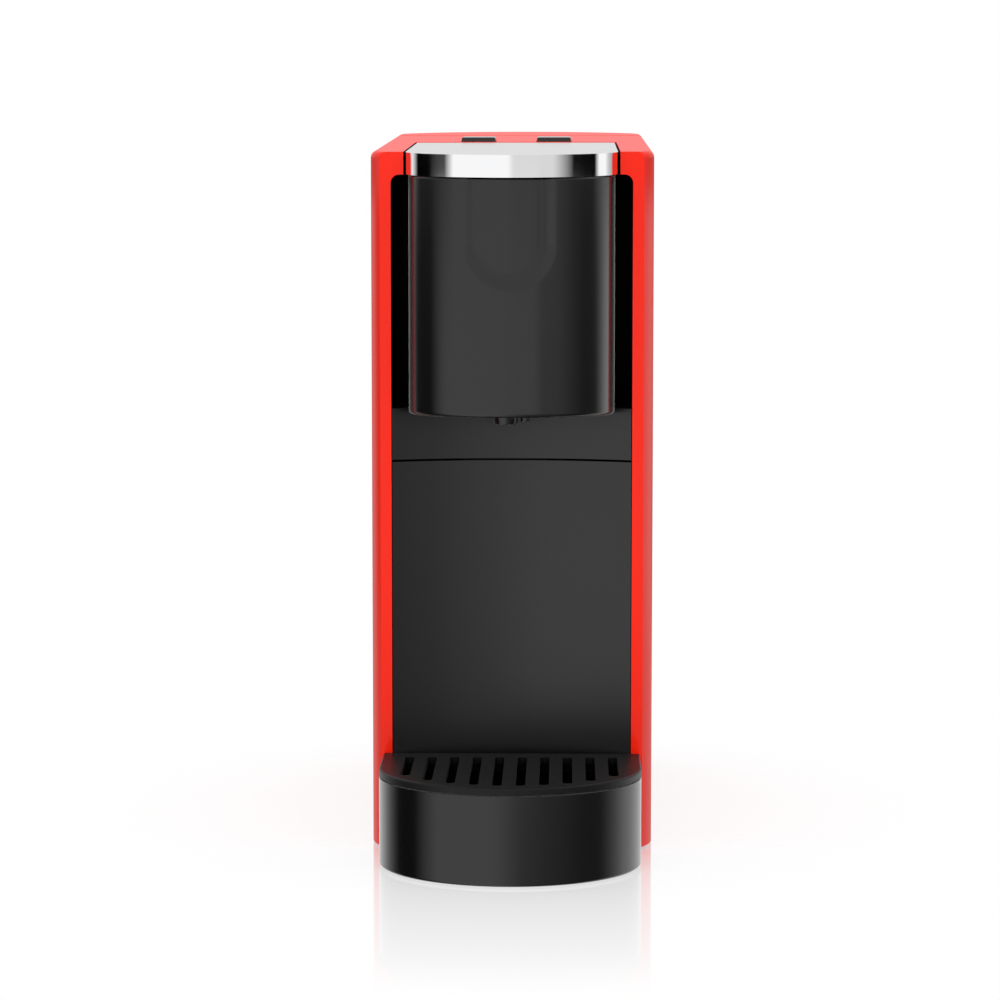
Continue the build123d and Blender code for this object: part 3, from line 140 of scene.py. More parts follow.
def shader_group(name, inputs, outputs):
    """An empty shader group with named sockets: (tree, input node, output node)."""
    tree = bpy.data.node_groups.new(name, "ShaderNodeTree")
    for label, kind, value in inputs:
        socket = tree.interface.new_socket(label, in_out="INPUT", socket_type=kind)
        socket.default_value = value
    for label, kind in outputs:
        tree.interface.new_socket(label, in_out="OUTPUT", socket_type=kind)
    return tree, tree.nodes.new("NodeGroupInput"), tree.nodes.new("NodeGroupOutput")


COLOR, FLOAT, VECTOR = "NodeSocketColor", "NodeSocketFloat", "NodeSocketVector"


def make_moulded():
    """Moulded plastic: fine grain, slow tone drift, faint polishing haze."""
    tree, given, out = shader_group(
        "moulded_surface",
        [("Tone", COLOR, rgb(0.5, 0.5, 0.5)), ("Shade", COLOR, rgb(0.4, 0.4, 0.4)),
         ("Gloss Roughness", FLOAT, 0.2), ("Haze", FLOAT, 0.05), ("Grain Size", FLOAT, 0.6),
         ("Grain Depth", FLOAT, 0.02)],
        [("Color", COLOR), ("Roughness", FLOAT), ("Normal", VECTOR)])
    place = put(tree, "ShaderNodeTexCoord").outputs["Object"]
    drift = put(tree, "ShaderNodeTexNoise", {"Vector": place, "Scale": 9.0, "Detail": 3.0})
    haze = put(tree, "ShaderNodeTexNoise", {"Vector": place, "Scale": 55.0, "Detail": 5.0,
                                            "Roughness": 0.65})
    pitch = put(tree, "ShaderNodeMath", {0: 1000.0, 1: given.outputs["Grain Size"]},
                operation="DIVIDE").outputs[0]
    grain = put(tree, "ShaderNodeTexNoise", {"Vector": place, "Scale": pitch, "Detail": 2.0})
    tone = put(tree, "ShaderNodeMix", {"Factor": drift.outputs["Fac"],
                                       6: given.outputs["Tone"], 7: given.outputs["Shade"]},
               data_type="RGBA").outputs[2]
    swing = put(tree, "ShaderNodeMath", {0: haze.outputs["Fac"], 1: -0.5}, operation="ADD")
    rough = put(tree, "ShaderNodeMath", {0: swing.outputs[0], 1: given.outputs["Haze"],
                                         2: given.outputs["Gloss Roughness"]},
                operation="MULTIPLY_ADD", use_clamp=True).outputs[0]
    depth = put(tree, "ShaderNodeMath", {0: given.outputs["Grain Depth"], 1: 0.001},
                operation="MULTIPLY").outputs[0]
    bump = put(tree, "ShaderNodeBump", {"Strength": 1.0, "Distance": depth,
                                        "Height": grain.outputs["Fac"]})
    tree.links.new(tone, out.inputs["Color"])
    tree.links.new(rough, out.inputs["Roughness"])
    tree.links.new(bump.outputs["Normal"], out.inputs["Normal"])
    return tree


def make_brushed():
    """Metal with fine lines drawn along one direction, set by the stretch."""
    tree, given, out = shader_group(
        "brushed_surface",
        [("Tone", COLOR, rgb(0.7, 0.7, 0.7)), ("Shade", COLOR, rgb(0.6, 0.6, 0.6)),
         ("Base Roughness", FLOAT, 0.2), ("Line Contrast", FLOAT, 0.1),
         ("Stretch", VECTOR, (20.0, 900.0, 900.0)), ("Line Depth", FLOAT, 0.01)],
        [("Color", COLOR), ("Roughness", FLOAT), ("Normal", VECTOR)])
    place = put(tree, "ShaderNodeTexCoord").outputs["Object"]
    drawn = put(tree, "ShaderNodeVectorMath", {0: place, 1: given.outputs["Stretch"]},
                operation="MULTIPLY").outputs[0]
    lines = put(tree, "ShaderNodeTexNoise", {"Vector": drawn, "Scale": 1.0, "Detail": 4.0,
                                             "Roughness": 0.7})
    cloud = put(tree, "ShaderNodeTexNoise", {"Vector": place, "Scale": 30.0, "Detail": 3.0})
    tone = put(tree, "ShaderNodeMix", {"Factor": lines.outputs["Fac"],
                                       6: given.outputs["Tone"], 7: given.outputs["Shade"]},
               data_type="RGBA").outputs[2]
    mixed = put(tree, "ShaderNodeMath", {0: lines.outputs["Fac"], 1: cloud.outputs["Fac"]},
                operation="MULTIPLY").outputs[0]
    rough = put(tree, "ShaderNodeMath", {0: mixed, 1: given.outputs["Line Contrast"],
                                         2: given.outputs["Base Roughness"]},
                operation="MULTIPLY_ADD", use_clamp=True).outputs[0]
    depth = put(tree, "ShaderNodeMath", {0: given.outputs["Line Depth"], 1: 0.001},
                operation="MULTIPLY").outputs[0]
    bump = put(tree, "ShaderNodeBump", {"Strength": 1.0, "Distance": depth,
                                        "Height": lines.outputs["Fac"]})
    tree.links.new(tone, out.inputs["Color"])
    tree.links.new(rough, out.inputs["Roughness"])
    tree.links.new(bump.outputs["Normal"], out.inputs["Normal"])
    return tree


MOULDED = make_moulded()
BRUSHED = make_brushed()


def new_material(name):
    """A material with a principled shader: (material, tree, shader)."""
    made = bpy.data.materials.new(name)
    made.use_nodes = True
    tree = made.node_tree
    return made, tree, tree.nodes["Principled BSDF"]


def wear(tree, shader, group, values):
    """Feeds a shared surface group into the shader's colour, roughness and normal."""
    made = put(tree, "ShaderNodeGroup", node_tree=group)
    for key, value in values.items():
        made.inputs[key].default_value = value
    tree.links.new(made.outputs["Color"], shader.inputs["Base Color"])
    tree.links.new(made.outputs["Roughness"], shader.inputs["Roughness"])
    tree.links.new(made.outputs["Normal"], shader.inputs["Normal"])
    return made


def moulded(name, tone, shade, rough, haze=0.04, size=0.6, depth=0.01, ior=1.5, coat=0.0,
            coat_rough=0.08, sheen=0.0, sheen_rough=0.15):
    """A moulded plastic or rubber."""
    made, tree, shader = new_material(name)
    wear(tree, shader, MOULDED, {"Tone": rgb(*tone), "Shade": rgb(*shade),
                                 "Gloss Roughness": rough, "Haze": haze, "Grain Size": size,
                                 "Grain Depth": depth})
    shader.inputs["IOR"].default_value = ior
    shader.inputs["Coat Weight"].default_value = coat
    shader.inputs["Coat Roughness"].default_value = coat_rough
    shader.inputs["Sheen Weight"].default_value = sheen
    shader.inputs["Sheen Roughness"].default_value = sheen_rough
    return made


def metal(name, tone, shade, rough, contrast=0.1, stretch=(20.0, 900.0, 900.0), depth=0.004):
    """A drawn, brushed or plated metal."""
    made, tree, shader = new_material(name)
    wear(tree, shader, BRUSHED, {"Tone": rgb(*tone), "Shade": rgb(*shade),
                                 "Base Roughness": rough, "Line Contrast": contrast,
                                 "Stretch": stretch, "Line Depth": depth})
    shader.inputs["Metallic"].default_value = 1.0
    return made


def circuit_board_material():
    """Green lacquered board with copper tracks and pads."""
    made, tree, shader = new_material("circuit_board_lacquer")
    place = put(tree, "ShaderNodeTexCoord").outputs["Object"]
    weave = put(tree, "ShaderNodeTexBrick",
                {"Vector": place, "Scale": 60.0, "Mortar Size": 0.03,
                 "Color1": rgb(0.010, 0.075, 0.028), "Color2": rgb(0.012, 0.090, 0.034),
                 "Mortar": rgb(0.030, 0.150, 0.060)})
    pads = put(tree, "ShaderNodeTexVoronoi", {"Vector": place, "Scale": 180.0})
    copper = ramp(tree, pads.outputs["Distance"], [(0.0, 1.0), (0.12, 1.0), (0.16, 0.0)])
    tone = put(tree, "ShaderNodeMix", {"Factor": copper, 6: weave.outputs["Color"],
                                       7: rgb(0.55, 0.42, 0.16)}, data_type="RGBA").outputs[2]
    tree.links.new(tone, shader.inputs["Base Color"])
    shader.inputs["Roughness"].default_value = 0.35
    shader.inputs["Coat Weight"].default_value = 0.4
    return made


def smoked_material():
    """Grey tinted clear plastic of the tank."""
    made, tree, shader = new_material("smoked_clear_tank")
    place = put(tree, "ShaderNodeTexCoord").outputs["Object"]
    cloud = put(tree, "ShaderNodeTexNoise", {"Vector": place, "Scale": 14.0, "Detail": 4.0})
    tone = put(tree, "ShaderNodeMix", {"Factor": cloud.outputs["Fac"],
                                       6: rgb(0.30, 0.31, 0.33), 7: rgb(0.38, 0.39, 0.41)},
               data_type="RGBA").outputs[2]
    haze = put(tree, "ShaderNodeTexNoise", {"Vector": place, "Scale": 160.0, "Detail": 4.0})
    rough = put(tree, "ShaderNodeMapRange", {"Value": haze.outputs["Fac"], "To Min": 0.04,
                                             "To Max": 0.12}).outputs[0]
    tree.links.new(tone, shader.inputs["Base Color"])
    tree.links.new(rough, shader.inputs["Roughness"])
    shader.inputs["Transmission Weight"].default_value = 0.85
    shader.inputs["IOR"].default_value = 1.2
    return made


FINISH = {
    "red_gloss": moulded("red_gloss_abs", (0.975, 0.019, 0.004), (0.94, 0.016, 0.003), 0.5,
                         haze=0.1, size=2.5, depth=0.003, ior=1.0, coat=0.38),
    "black_satin": moulded("black_satin_abs", (0.0045, 0.0045, 0.0048),
                           (0.0036, 0.0036, 0.0038), 0.30, haze=0.06, size=0.5, depth=0.006),
    "black_gloss": moulded("black_drum_abs", (0.0036, 0.0036, 0.0038),
                           (0.0028, 0.0028, 0.0030), 0.17, haze=0.05, size=0.8, depth=0.002,
                           sheen=0.6, sheen_rough=0.25),
    "black_matte": moulded("black_structural_plastic", (0.012, 0.012, 0.012),
                           (0.008, 0.008, 0.008), 0.5, haze=0.12, size=0.4, depth=0.02),
    "button_black": moulded("black_button_cap", (0.004, 0.004, 0.004),
                            (0.003, 0.003, 0.003), 0.12, haze=0.04, size=1.0, depth=0.002),
    "chrome_trim": metal("chrome_plated_abs", (0.86, 0.86, 0.87), (0.83, 0.83, 0.84), 0.035,
                         contrast=0.03, stretch=(60.0, 60.0, 60.0), depth=0.0),
    "steel": metal("drawn_steel", (0.56, 0.55, 0.53), (0.47, 0.46, 0.45), 0.22,
                   contrast=0.25, stretch=(900.0, 900.0, 60.0), depth=0.006),
    "chamber_steel": metal("turned_chamber_steel", (0.60, 0.60, 0.59), (0.50, 0.50, 0.50),
                           0.20, contrast=0.25, stretch=(500.0, 60.0, 500.0), depth=0.008),
    "rubber_black": moulded("black_rubber", (0.018, 0.018, 0.018), (0.012, 0.012, 0.012), 0.7,
                            haze=0.15, size=0.3, depth=0.03),
    "smoked_clear": smoked_material(),
    "white_plastic": moulded("white_acetal", (0.78, 0.78, 0.75), (0.72, 0.72, 0.69), 0.35,
                             haze=0.08, size=0.5, depth=0.01),
    "circuit_board": circuit_board_material(),
    "brass_pins": metal("brass_pin", (0.80, 0.60, 0.26), (0.70, 0.50, 0.20), 0.22,
                        contrast=0.2, stretch=(900.0, 40.0, 900.0), depth=0.004),
    "pump_body": metal("zinc_plated_pump", (0.60, 0.58, 0.50), (0.48, 0.46, 0.38), 0.30,
                       contrast=0.2, stretch=(400.0, 60.0, 400.0), depth=0.01),
    "cast_aluminium": metal("cast_aluminium_block", (0.62, 0.62, 0.62), (0.50, 0.50, 0.50),
                            0.38, contrast=0.25, stretch=(500.0, 500.0, 500.0), depth=0.08),
    "silicone_hose": moulded("silicone_hose", (0.62, 0.62, 0.58), (0.55, 0.55, 0.51), 0.42,
                             haze=0.1, size=0.5, depth=0.01),
}
# painted shade: a near-black matt material, dressed where the channel beside the drum and the
# inner faces of its recess lie in shade
PAINTED_SHADE_LINER = moulded("painted_shade_liner", (0.0022, 0.0022, 0.0022), (0.0014, 0.0014, 0.0014),
                     0.85, haze=0.1, size=0.4, depth=0.01, ior=1.15)
GRATE_SATIN = moulded("grate_satin_abs", (0.0045, 0.0045, 0.0048), (0.0036, 0.0036, 0.0038),
                      0.42, haze=0.08, size=0.5, depth=0.006, ior=1.3, sheen=0.03,
                      sheen_rough=0.3)
SATIN_PLATE = metal("satin_chrome_plate", (0.84, 0.84, 0.84), (0.80, 0.80, 0.80), 0.30,
                    contrast=0.08, stretch=(900.0, 40.0, 40.0), depth=0.003)


def dress(obj, material):
    """The object's only material."""
    obj.data.materials.clear()
    obj.data.materials.append(material)


def dress_where(obj, material, chosen):
    """A second material on the faces that the test picks by their centre, in mm, and normal."""
    obj.data.materials.append(material)
    extra = len(obj.data.materials) - 1
    for face in obj.data.polygons:
        x, y, z = face.center / MM
        if chosen(x, y, z, face.normal):
            face.material_index = extra


# ------------------------------------------------------------------ meshes
def own(obj, name_of_node, *also):
    """The piece rides on the node's body and stands for the node, which is hidden."""
    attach(obj, BODY_OF[name_of_node])
    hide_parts(name_of_node, *also)
    return obj


def link(obj):
    bpy.context.scene.collection.objects.link(obj)
    return obj


def soften(obj, width, turn=25.0, segments=2):
    """Rounded edges and even shading on a closed mesh."""
    bevel = obj.modifiers.new("edge_rounding", "BEVEL")
    bevel.width = width * MM
    bevel.segments = segments
    bevel.limit_method = "ANGLE"
    bevel.angle_limit = math.radians(turn)
    bevel.use_clamp_overlap = True
    bevel.miter_outer = "MITER_ARC"
    even = obj.modifiers.new("even_shading", "WEIGHTED_NORMAL")
    even.keep_sharp = True
    even.weight = 60
    return obj


def refined(node, width=0.35, turn=25.0, segments=2, merge=0.5, source=None):
    """A shown copy of a CAD node: welded, flats merged, edges rounded."""
    mesh = bpy.data.meshes.new(node + "_fine")
    form = bmesh.new()
    form.from_mesh(source or NODES[node].data)
    bmesh.ops.remove_doubles(form, verts=form.verts, dist=WELD)
    bmesh.ops.dissolve_limit(form, angle_limit=math.radians(merge), verts=form.verts,
                             edges=form.edges, delimit={"NORMAL"})
    for face in form.faces:
        face.smooth = True
    form.to_mesh(mesh)
    form.free()
    piece = link(bpy.data.objects.new(node + "_fine", mesh))
    dress(piece, FINISH[SLOT_OF[node]])
    soften(piece, width, turn, segments)
    return own(piece, node)


for node_name, node_object in NODES.items():
    dress(node_object, FINISH[SLOT_OF[node_name]])


# ------------------------------------------------------------------ geometry tree helpers
def gn_tree(name, inputs):
    """A geometry tree with named inputs and a mesh output: (tree, input node, output node)."""
    tree = bpy.data.node_groups.new(name, "GeometryNodeTree")
    for label, kind, value in inputs:
        socket = tree.interface.new_socket(label, in_out="INPUT", socket_type=kind)
        if value is not None:
            socket.default_value = value
    tree.interface.new_socket("Mesh", in_out="OUTPUT", socket_type="NodeSocketGeometry")
    return tree, tree.nodes.new("NodeGroupInput"), tree.nodes.new("NodeGroupOutput")


def calc(tree, operation, *values, clamp=False):
    """A maths node's result."""
    made = tree.nodes.new("ShaderNodeMath")
    made.operation = operation
    made.use_clamp = clamp
    for i, value in enumerate(values):
        if isinstance(value, bpy.types.NodeSocket):
            tree.links.new(value, made.inputs[i])
        else:
            made.inputs[i].default_value = value
    return made.outputs[0]


def grown(name, tree, values=None, base=None):
    """The plain mesh that a geometry tree makes, with its inputs set by socket identifier."""
    seed = link(bpy.data.objects.new(name + "_seed", base or bpy.data.meshes.new(name)))
    grow = seed.modifiers.new("grow", "NODES")
    grow.node_group = tree
    for item in tree.interface.items_tree:
        if item.in_out == "INPUT" and item.name in (values or {}):
            grow[item.identifier] = values[item.name]
    seed.update_tag()
    bpy.context.view_layer.update()
    ready = seed.evaluated_get(bpy.context.evaluated_depsgraph_get())
    mesh = bpy.data.meshes.new_from_object(ready)
    mesh.name = name
    bpy.data.objects.remove(seed)
    return link(bpy.data.objects.new(name, mesh))


def spread(tree, shape, points):
    """One shape set on every point."""
    return put(tree, "GeometryNodeInstanceOnPoints",
               {"Points": points, "Instance": shape}).outputs[0]


def closed_off(tree, given, out, shape):
    """Ends a tree: real geometry with its material."""
    real = put(tree, "GeometryNodeRealizeInstances", {0: shape})
    painted = put(tree, "GeometryNodeSetMaterial", {"Geometry": real.outputs[0],
                                                    "Material": given.outputs["Material"]})
    tree.links.new(painted.outputs[0], out.inputs[0])
    return tree


def shifted(tree, shape, x=0.0, y=0.0, z=0.0):
    place = put(tree, "ShaderNodeCombineXYZ", {0: x, 1: y, 2: z}).outputs[0]
    return put(tree, "GeometryNodeTransform", {"Geometry": shape,
                                               "Translation": place}).outputs[0]


def joined(tree, *shapes):
    made = tree.nodes.new("GeometryNodeJoinGeometry")
    for shape in shapes:
        tree.links.new(shape, made.inputs[0])
    return made.outputs[0]


# ------------------------------------------------------------------ drum
def drum_tree():
    """The drum's skin by rule: a half ellipse with straight ends, a rounded lower edge, a
    sloped rim and a thumb recess with a soft U-shaped edge."""
    tree, given, out = gn_tree("drum_skin_rule", [
        ("Half Width", FLOAT, DRUM_X * MM), ("Out", FLOAT, DRUM_OUT * MM),
        ("Front", FLOAT, FRONT_Y * MM), ("Rear", FLOAT, DRUM_REAR_Y * MM),
        ("Bottom", FLOAT, DRUM_BOTTOM * MM),
        ("Rim At Front", FLOAT, (TOP_FRONT_Z - RIM_DROP) * MM), ("Slope", FLOAT, SLOPE),
        ("Edge Radius", FLOAT, 1.5 * MM), ("Recess Half Width", FLOAT, THUMB_X * MM),
        ("Slope Width", FLOAT, THUMB_SLOPE_W * MM), ("Recess Bottom", FLOAT, THUMB_BOTTOM * MM),
        ("Recess Depth", FLOAT, THUMB_DEPTH * MM),
        ("Crease Depth", FLOAT, THUMB_CREASE * MM), ("Columns", "NodeSocketInt", 260),
        ("Rows", "NodeSocketInt", 150), ("Material", "NodeSocketMaterial", None)])
    g = given.outputs
    grid = put(tree, "GeometryNodeMeshGrid", {"Size X": 1.0, "Size Y": 1.0,
                                              "Vertices X": g["Columns"],
                                              "Vertices Y": g["Rows"]})
    spot = put(tree, "ShaderNodeSeparateXYZ",
               {0: put(tree, "GeometryNodeInputPosition").outputs[0]})
    u, v = spot.outputs["X"], spot.outputs["Y"]          # both from -0.5 to 0.5
    # along the plan: the middle nine tenths run round the half ellipse
    share = calc(tree, "DIVIDE", u, ROUND_SHARE)
    share = calc(tree, "MINIMUM", calc(tree, "MAXIMUM", share, -0.5), 0.5)
    theta = calc(tree, "MULTIPLY", share, math.pi)
    sine, cosine = calc(tree, "SINE", theta), calc(tree, "COSINE", theta)
    past = calc(tree, "SUBTRACT", calc(tree, "ABSOLUTE", u), ROUND_SHARE / 2)
    past = calc(tree, "DIVIDE", past, (1 - ROUND_SHARE) / 2, clamp=True)
    back = calc(tree, "MULTIPLY", past, calc(tree, "SUBTRACT", g["Rear"], g["Front"]))
    # outward direction of the ellipse
    nx, ny = calc(tree, "DIVIDE", sine, g["Half Width"]), calc(tree, "DIVIDE", cosine, g["Out"])
    run = calc(tree, "SQRT", calc(tree, "ADD", calc(tree, "MULTIPLY", nx, nx),
                                  calc(tree, "MULTIPLY", ny, ny)))
    nx, ny = calc(tree, "DIVIDE", nx, run), calc(tree, "DIVIDE", ny, run)
    # up the wall: the first tenth of the rows turns round the lower edge
    turn = calc(tree, "MULTIPLY", calc(tree, "ADD", v, 0.5), math.pi / 2 / EDGE_SHARE)
    turn = calc(tree, "MINIMUM", turn, math.pi / 2)
    edge_in = calc(tree, "MULTIPLY", g["Edge Radius"],
                   calc(tree, "SUBTRACT", 1.0, calc(tree, "SINE", turn)))
    edge_up = calc(tree, "MULTIPLY", g["Edge Radius"],
                   calc(tree, "SUBTRACT", 1.0, calc(tree, "COSINE", turn)))
    climb = calc(tree, "DIVIDE", calc(tree, "ADD", v, 0.5 - EDGE_SHARE), 1 - EDGE_SHARE,
                 clamp=True)
    x0 = calc(tree, "MULTIPLY", g["Half Width"], sine)
    y0 = calc(tree, "ADD", calc(tree, "SUBTRACT", g["Front"],
                                calc(tree, "MULTIPLY", g["Out"], cosine)), back)
    rim = calc(tree, "ADD", g["Rim At Front"],
               calc(tree, "MULTIPLY", g["Slope"], calc(tree, "SUBTRACT", y0, g["Front"])))
    wall_foot = calc(tree, "ADD", g["Bottom"], g["Edge Radius"])
    z0 = calc(tree, "ADD", calc(tree, "ADD", g["Bottom"], edge_up),
              calc(tree, "MULTIPLY", climb, calc(tree, "SUBTRACT", rim, wall_foot)))
    # thumb recess: inside the U line the skin lies deeper, with a smooth slope across the line
    centre = calc(tree, "ADD", g["Recess Bottom"], g["Recess Half Width"])
    under = calc(tree, "MINIMUM", calc(tree, "SUBTRACT", z0, centre), 0.0)
    reach = calc(tree, "SQRT", calc(tree, "ADD", calc(tree, "MULTIPLY", x0, x0),
                                    calc(tree, "MULTIPLY", under, under)))
    past_line = calc(tree, "SUBTRACT", reach, g["Recess Half Width"])
    sunk = put(tree, "ShaderNodeMapRange",
               {"Value": past_line, "From Min": calc(tree, "MULTIPLY", g["Slope Width"], 0.5),
                "From Max": calc(tree, "MULTIPLY", g["Slope Width"], -0.5)},
               interpolation_type="SMOOTHSTEP").outputs[0]
    from_line = calc(tree, "ABSOLUTE", past_line)
    creased = put(tree, "ShaderNodeMapRange",
                  {"Value": from_line, "From Max": 0.0,
                   "From Min": calc(tree, "MULTIPLY", g["Slope Width"], CREASE_REACH)},
                  interpolation_type="SMOOTHSTEP").outputs[0]
    inward = calc(tree, "ADD", edge_in, calc(tree, "MULTIPLY", sunk, g["Recess Depth"]))
    inward = calc(tree, "ADD", inward, calc(tree, "MULTIPLY", creased, g["Crease Depth"]))
    place = put(tree, "ShaderNodeCombineXYZ",
                {0: calc(tree, "SUBTRACT", x0, calc(tree, "MULTIPLY", nx, inward)),
                 1: calc(tree, "ADD", y0, calc(tree, "MULTIPLY", ny, inward)), 2: z0})
    moved = put(tree, "GeometryNodeSetPosition", {"Geometry": grid.outputs["Mesh"],
                                                  "Position": place.outputs[0]})
    return closed_off(tree, given, out, moved.outputs[0])


drum_skin = grown("drum_skin", drum_tree(), {"Material": FINISH["black_gloss"]})
solid = drum_skin.modifiers.new("wall", "SOLIDIFY")
solid.thickness = DRUM_WALL * MM
solid.offset = -1.0
solid.use_rim = True
drum_skin.data.shade_smooth()
own(drum_skin, "head_cover")


def inset_deck():
    """The deck under the lever, drawn in at its edge so that it sits inside the drum's wall."""
    mesh = NODES["head_deck"].data.copy()
    for vertex in mesh.vertices:
        x, ahead = vertex.co.x / MM, FRONT_Y - vertex.co.y / MM
        behind_recess = min(1.0, max(0.0, (THUMB_X - abs(x)) / THUMB_SLOPE_W + 0.5))
        draw_in = DRUM_WALL + DECK_GAP + THUMB_DEPTH * behind_recess
        on_nose = ahead > 0 and (x / DRUM_X) ** 2 + (ahead / DRUM_OUT) ** 2 > ON_THE_EDGE
        if on_nose:
            vertex.co.x *= 1 - draw_in / DRUM_X
            vertex.co.y += ahead * draw_in / DRUM_OUT * MM
        elif ahead <= 0 and abs(x) > DRUM_X - SIDE_LAP:
            vertex.co.x *= 1 - draw_in / DRUM_X
    return mesh


def slim_spout():
    """The spout's nozzle and its vent, slimmer under the drum and set close together."""
    mesh = NODES["spout"].data.copy()
    for vertex in mesh.vertices:
        x, y, z = vertex.co / MM
        if z > SPOUT_COLLAR_Z or math.hypot(x, y - SPOUT_Y) > COLLAR_REACH:
            continue
        if math.hypot(x - VENT_X, y - SPOUT_Y) < VENT_REACH:
            x = VENT_SHOWN_X + (x - VENT_X) * VENT_SCALE
            z -= VENT_DROP if z < DRUM_BOTTOM else 0.0
        else:
            x = NOZZLE_SHOWN_X + x * NOZZLE_SCALE
            y = SPOUT_Y + (y - SPOUT_Y) * NOZZLE_SCALE
            z += NOZZLE_LIFT if z < DRUM_BOTTOM else 0.0
        vertex.co = Vector((x, y, z)) * MM
    return mesh


FINE = {}
for shown in ("housing_shell", "lever_cover", "front_panel", "drawer_front",
              "drip_tray", "drip_grate", "button_left", "button_right", "tank_lid",
              "water_tank"):
    FINE[shown] = refined(shown)
FINE["spout"] = refined("spout", source=slim_spout())
FINE["head_deck"] = refined("head_deck", source=inset_deck())
FINE["drip_grate"].data.materials[0] = GRATE_SATIN
dress_where(FINE["lever_cover"], SATIN_PLATE, lambda x, y, z, facing: facing.z > FACES_UP)
# painted shade: the front panel is dressed near black above its seam, beside the drum, where it
# lies in shade
dress_where(FINE["front_panel"], PAINTED_SHADE_LINER,
            lambda x, y, z, facing: z > PANEL_TOP + PAINTED_SHADE_OVER_PANEL)
# painted shade: the inner faces of the recess beside the drum are dressed near black, which also
# darkens their reflection in the drum's edges
dress_where(FINE["housing_shell"], PAINTED_SHADE_LINER,
            lambda x, y, z, facing: abs(x) < RECESS_SIDE and y < RECESS_DEPTH_Y
            and facing.x * x < 0 and abs(facing.x) > FACES_IN)


def drum_floor_mesh():
    """The plate that closes the drum from below, with the holes for the spout and the vent."""
    mesh = bpy.data.meshes.new("drum_floor")
    form = bmesh.new()
    form.from_mesh(NODES["head_cover"].data)
    bmesh.ops.remove_doubles(form, verts=form.verts, dist=WELD)
    level = DRUM_BOTTOM * MM
    others = [face for face in form.faces
              if any(abs(vertex.co.z - level) > FLAT for vertex in face.verts)]
    bmesh.ops.delete(form, geom=others, context="FACES")
    for vertex in form.verts:
        vertex.co.x *= 1 + FLOOR_OVERLAP / DRUM_X
        vertex.co.z += FLOOR_OVERLAP * MM
    bmesh.ops.dissolve_limit(form, angle_limit=math.radians(1.0), verts=form.verts,
                             edges=form.edges)
    form.to_mesh(mesh)
    form.free()
    return mesh


drum_floor = link(bpy.data.objects.new("drum_floor", drum_floor_mesh()))
dress(drum_floor, FINISH["black_gloss"])
plate_wall = drum_floor.modifiers.new("plate_thickness", "SOLIDIFY")
plate_wall.thickness = FLOOR_PLATE * MM
plate_wall.offset = -1.0
own(drum_floor, "head_cover")


# ------------------------------------------------------------------ springs and the hose
def copied(node):
    """A shown copy of a CAD node, smooth shaded, riding on the node's body."""
    piece = link(bpy.data.objects.new(node + "_flexing", NODES[node].data.copy()))
    piece.data.shade_smooth()
    return own(piece, node)


for which, at_x in (("left", -BUTTON_X), ("right", BUTTON_X)):
    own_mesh(copied("button_spring_" + which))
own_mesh(copied("valve_spring"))
hose = link(bpy.data.objects.new("brew_hose_flexing", NODES["brew_hose"].data.copy()))
hose.data.shade_smooth()
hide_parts("brew_hose")
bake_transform(hose)

# ------------------------------------------------------------------ repeated details
def base_screw_tree():
    """A pan head screw with a cross recess, set on every vertex of the mesh that comes in."""
    tree, given, out = gn_tree("base_screw_rule", [
        ("Spots", "NodeSocketGeometry", None),
        ("Head Radius", FLOAT, 3.2 * MM), ("Head Height", FLOAT, 1.3 * MM),
        ("Shank Radius", FLOAT, 1.45 * MM), ("Shank Length", FLOAT, 12.4 * MM),
        ("Recess Length", FLOAT, 3.6 * MM), ("Recess Width", FLOAT, 0.8 * MM),
        ("Recess Depth", FLOAT, 0.8 * MM), ("Sides", "NodeSocketInt", 40),
        ("Material", "NodeSocketMaterial", None)])
    g = given.outputs
    head = put(tree, "GeometryNodeMeshCylinder", {"Vertices": g["Sides"],
                                                  "Radius": g["Head Radius"],
                                                  "Depth": g["Head Height"]}).outputs["Mesh"]
    head = shifted(tree, head, z=calc(tree, "MULTIPLY", g["Head Height"], 0.5))
    slots = []
    for along, across in ((g["Recess Length"], g["Recess Width"]),
                          (g["Recess Width"], g["Recess Length"])):
        size = put(tree, "ShaderNodeCombineXYZ",
                   {0: along, 1: across,
                    2: calc(tree, "MULTIPLY", g["Recess Depth"], 2.0)}).outputs[0]
        slots.append(put(tree, "GeometryNodeMeshCube", {"Size": size}).outputs["Mesh"])
    cut = tree.nodes.new("GeometryNodeMeshBoolean")
    cut.operation = "DIFFERENCE"
    cut.solver = "EXACT"
    tree.links.new(head, cut.inputs["Mesh 1"])
    for slot in slots:
        tree.links.new(slot, cut.inputs["Mesh 2"])
    shank = put(tree, "GeometryNodeMeshCylinder", {"Vertices": g["Sides"],
                                                   "Radius": g["Shank Radius"],
                                                   "Depth": g["Shank Length"]}).outputs["Mesh"]
    shank = shifted(tree, shank, z=calc(tree, "ADD", g["Head Height"],
                                        calc(tree, "MULTIPLY", g["Shank Length"], 0.5)))
    screw = joined(tree, cut.outputs[0], shank)
    return closed_off(tree, given, out, spread(tree, screw, g["Spots"]))


SCREW_UNDER_Z = 1.3
screw_spots = bpy.data.meshes.new("base_screw_spots")
screw_spots.from_pydata([(x * MM, y * MM, SCREW_UNDER_Z * MM) for x, y in SCREW_PLACES], [], [])
base_screws = grown("base_screws_fine", base_screw_tree(), {"Material": FINISH["steel"]},
                    base=screw_spots)
own(base_screws, "base_screws")


